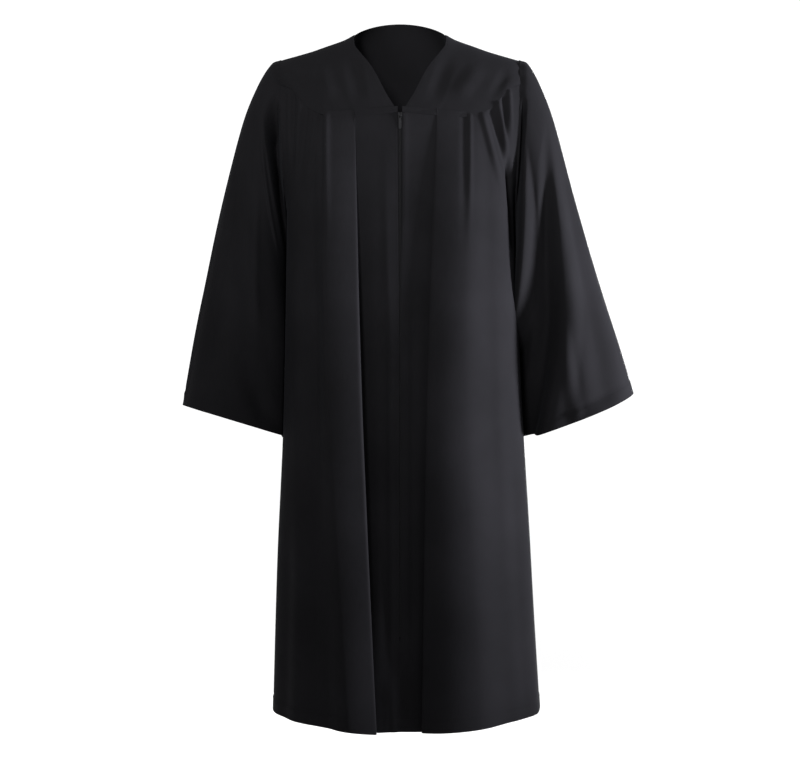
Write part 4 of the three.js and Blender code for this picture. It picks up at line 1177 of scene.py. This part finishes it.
slider = joined("zip_slider_metal", [
    plate_mesh("slider_front", [shield], SLIDER_PLATE, FLAT_TO_FRONT, front_middle),
    plate_mesh("slider_rear", [shield], SLIDER_PLATE, FLAT_TO_FRONT, rear_middle),
    plate_mesh("slider_post", [post], SLIDER_REAR_DROP, FLAT_TO_FRONT, post_middle),
    plate_mesh("slider_crown", [crown_arch, crown_hole], 2 * CROWN_HALF_WIDTH, FLAT_TO_SIDE, crown_middle),
], zip_metal)
belongs(slider, "gown", "zip_slider")

pull_outline = [
    *arc((PULL_HALF / 2, PULL_BAR - PULL_HALF / 2), PULL_HALF / 2, 0, 90),
    *arc((-PULL_HALF / 2, PULL_BAR - PULL_HALF / 2), PULL_HALF / 2, 90, 180),
    *arc((0, PULL_HALF - PULL_LENGTH), PULL_HALF, 180, 360),
]
pull_slot = [
    (-PULL_SLOT_HALF, -PULL_BAR),
    (-PULL_SLOT_HALF, -PULL_SLOT_END),
    (PULL_SLOT_HALF, -PULL_SLOT_END),
    (PULL_SLOT_HALF, -PULL_BAR),
]
pull_middle = (0, PULL_AXIS_Y, CROWN_Z)
pull_tab = plate_mesh("pull_tab", [pull_outline, pull_slot], PULL_THICKNESS, FLAT_TO_FRONT, pull_middle)
pull = joined("zip_pull_metal", [pull_tab], zip_metal)
belongs(pull, "zip_pull", "zip_pull")

# Floor, light and camera
FLOOR_Z = -1.42
FLOOR_RADIUS = 14.0
FLOOR_SEGMENTS = 96
FLOOR_COLOUR = (0.93, 0.93, 0.93, 1)
SKY_STRENGTH = 1.1
CAMERA_SENSOR = 36
CAMERA_LENS = 72.97
CAMERA_PLACE = (0, -3.0, -0.645)
floor_mesh = bpy.data.meshes.new("floor")
floor_work = bmesh.new()
bmesh.ops.create_circle(floor_work, cap_ends=True, segments=FLOOR_SEGMENTS, radius=FLOOR_RADIUS)
bmesh.ops.translate(floor_work, verts=floor_work.verts, vec=(0, 0, FLOOR_Z))
floor_work.to_mesh(floor_mesh)
floor_work.free()
floor = put_in_scene(floor_mesh, plain("floor", colour=FLOOR_COLOUR, roughness=0.9, specular=0.1))

world = bpy.data.worlds.new("studio")
world.use_nodes = True
sky = next(node for node in world.node_tree.nodes if node.type == "BACKGROUND")
sky.inputs["Color"].default_value = (1, 1, 1, 1)
sky.inputs["Strength"].default_value = SKY_STRENGTH
bpy.context.scene.world = world


def area_light(name, where, aim, size, power, spread, colour):
    data = bpy.data.lights.new(name, "AREA")
    data.shape = "DISK"
    data.size = size
    data.energy = power
    data.spread = math.radians(spread)
    data.color = colour
    light = bpy.data.objects.new(name, data)
    light.location = where
    light.rotation_euler = (Vector(aim) - Vector(where)).to_track_quat("-Z", "Y").to_euler()
    bpy.context.scene.collection.objects.link(light)


area_light(
    "key",
    where=(3.15, -0.7, -0.72),
    aim=(0, 0, -0.52),
    size=0.9,
    power=70,
    spread=42,
    colour=(0.93, 0.93, 1),
)
area_light(
    "fill",
    where=(-0.7, -3.25, 0.45),
    aim=(0, 0, 0.02),
    size=0.7,
    power=13.5,
    spread=40,
    colour=(1, 1, 1),
)
area_light(
    "rear",
    where=(0.9, 3.0, 0.15),
    aim=(0, 0, -0.55),
    size=0.9,
    power=24,
    spread=44,
    colour=(1, 1, 1),
)

camera_data = bpy.data.cameras.new("camera")
camera_data.sensor_width = CAMERA_SENSOR
camera_data.lens = CAMERA_LENS
camera = bpy.data.objects.new("camera", camera_data)
camera.location = CAMERA_PLACE
camera.rotation_euler = (QUARTER_TURN, 0, 0)
bpy.context.scene.collection.objects.link(camera)
bpy.context.scene.camera = camera
bpy.context.scene.view_settings.view_transform = "Standard"
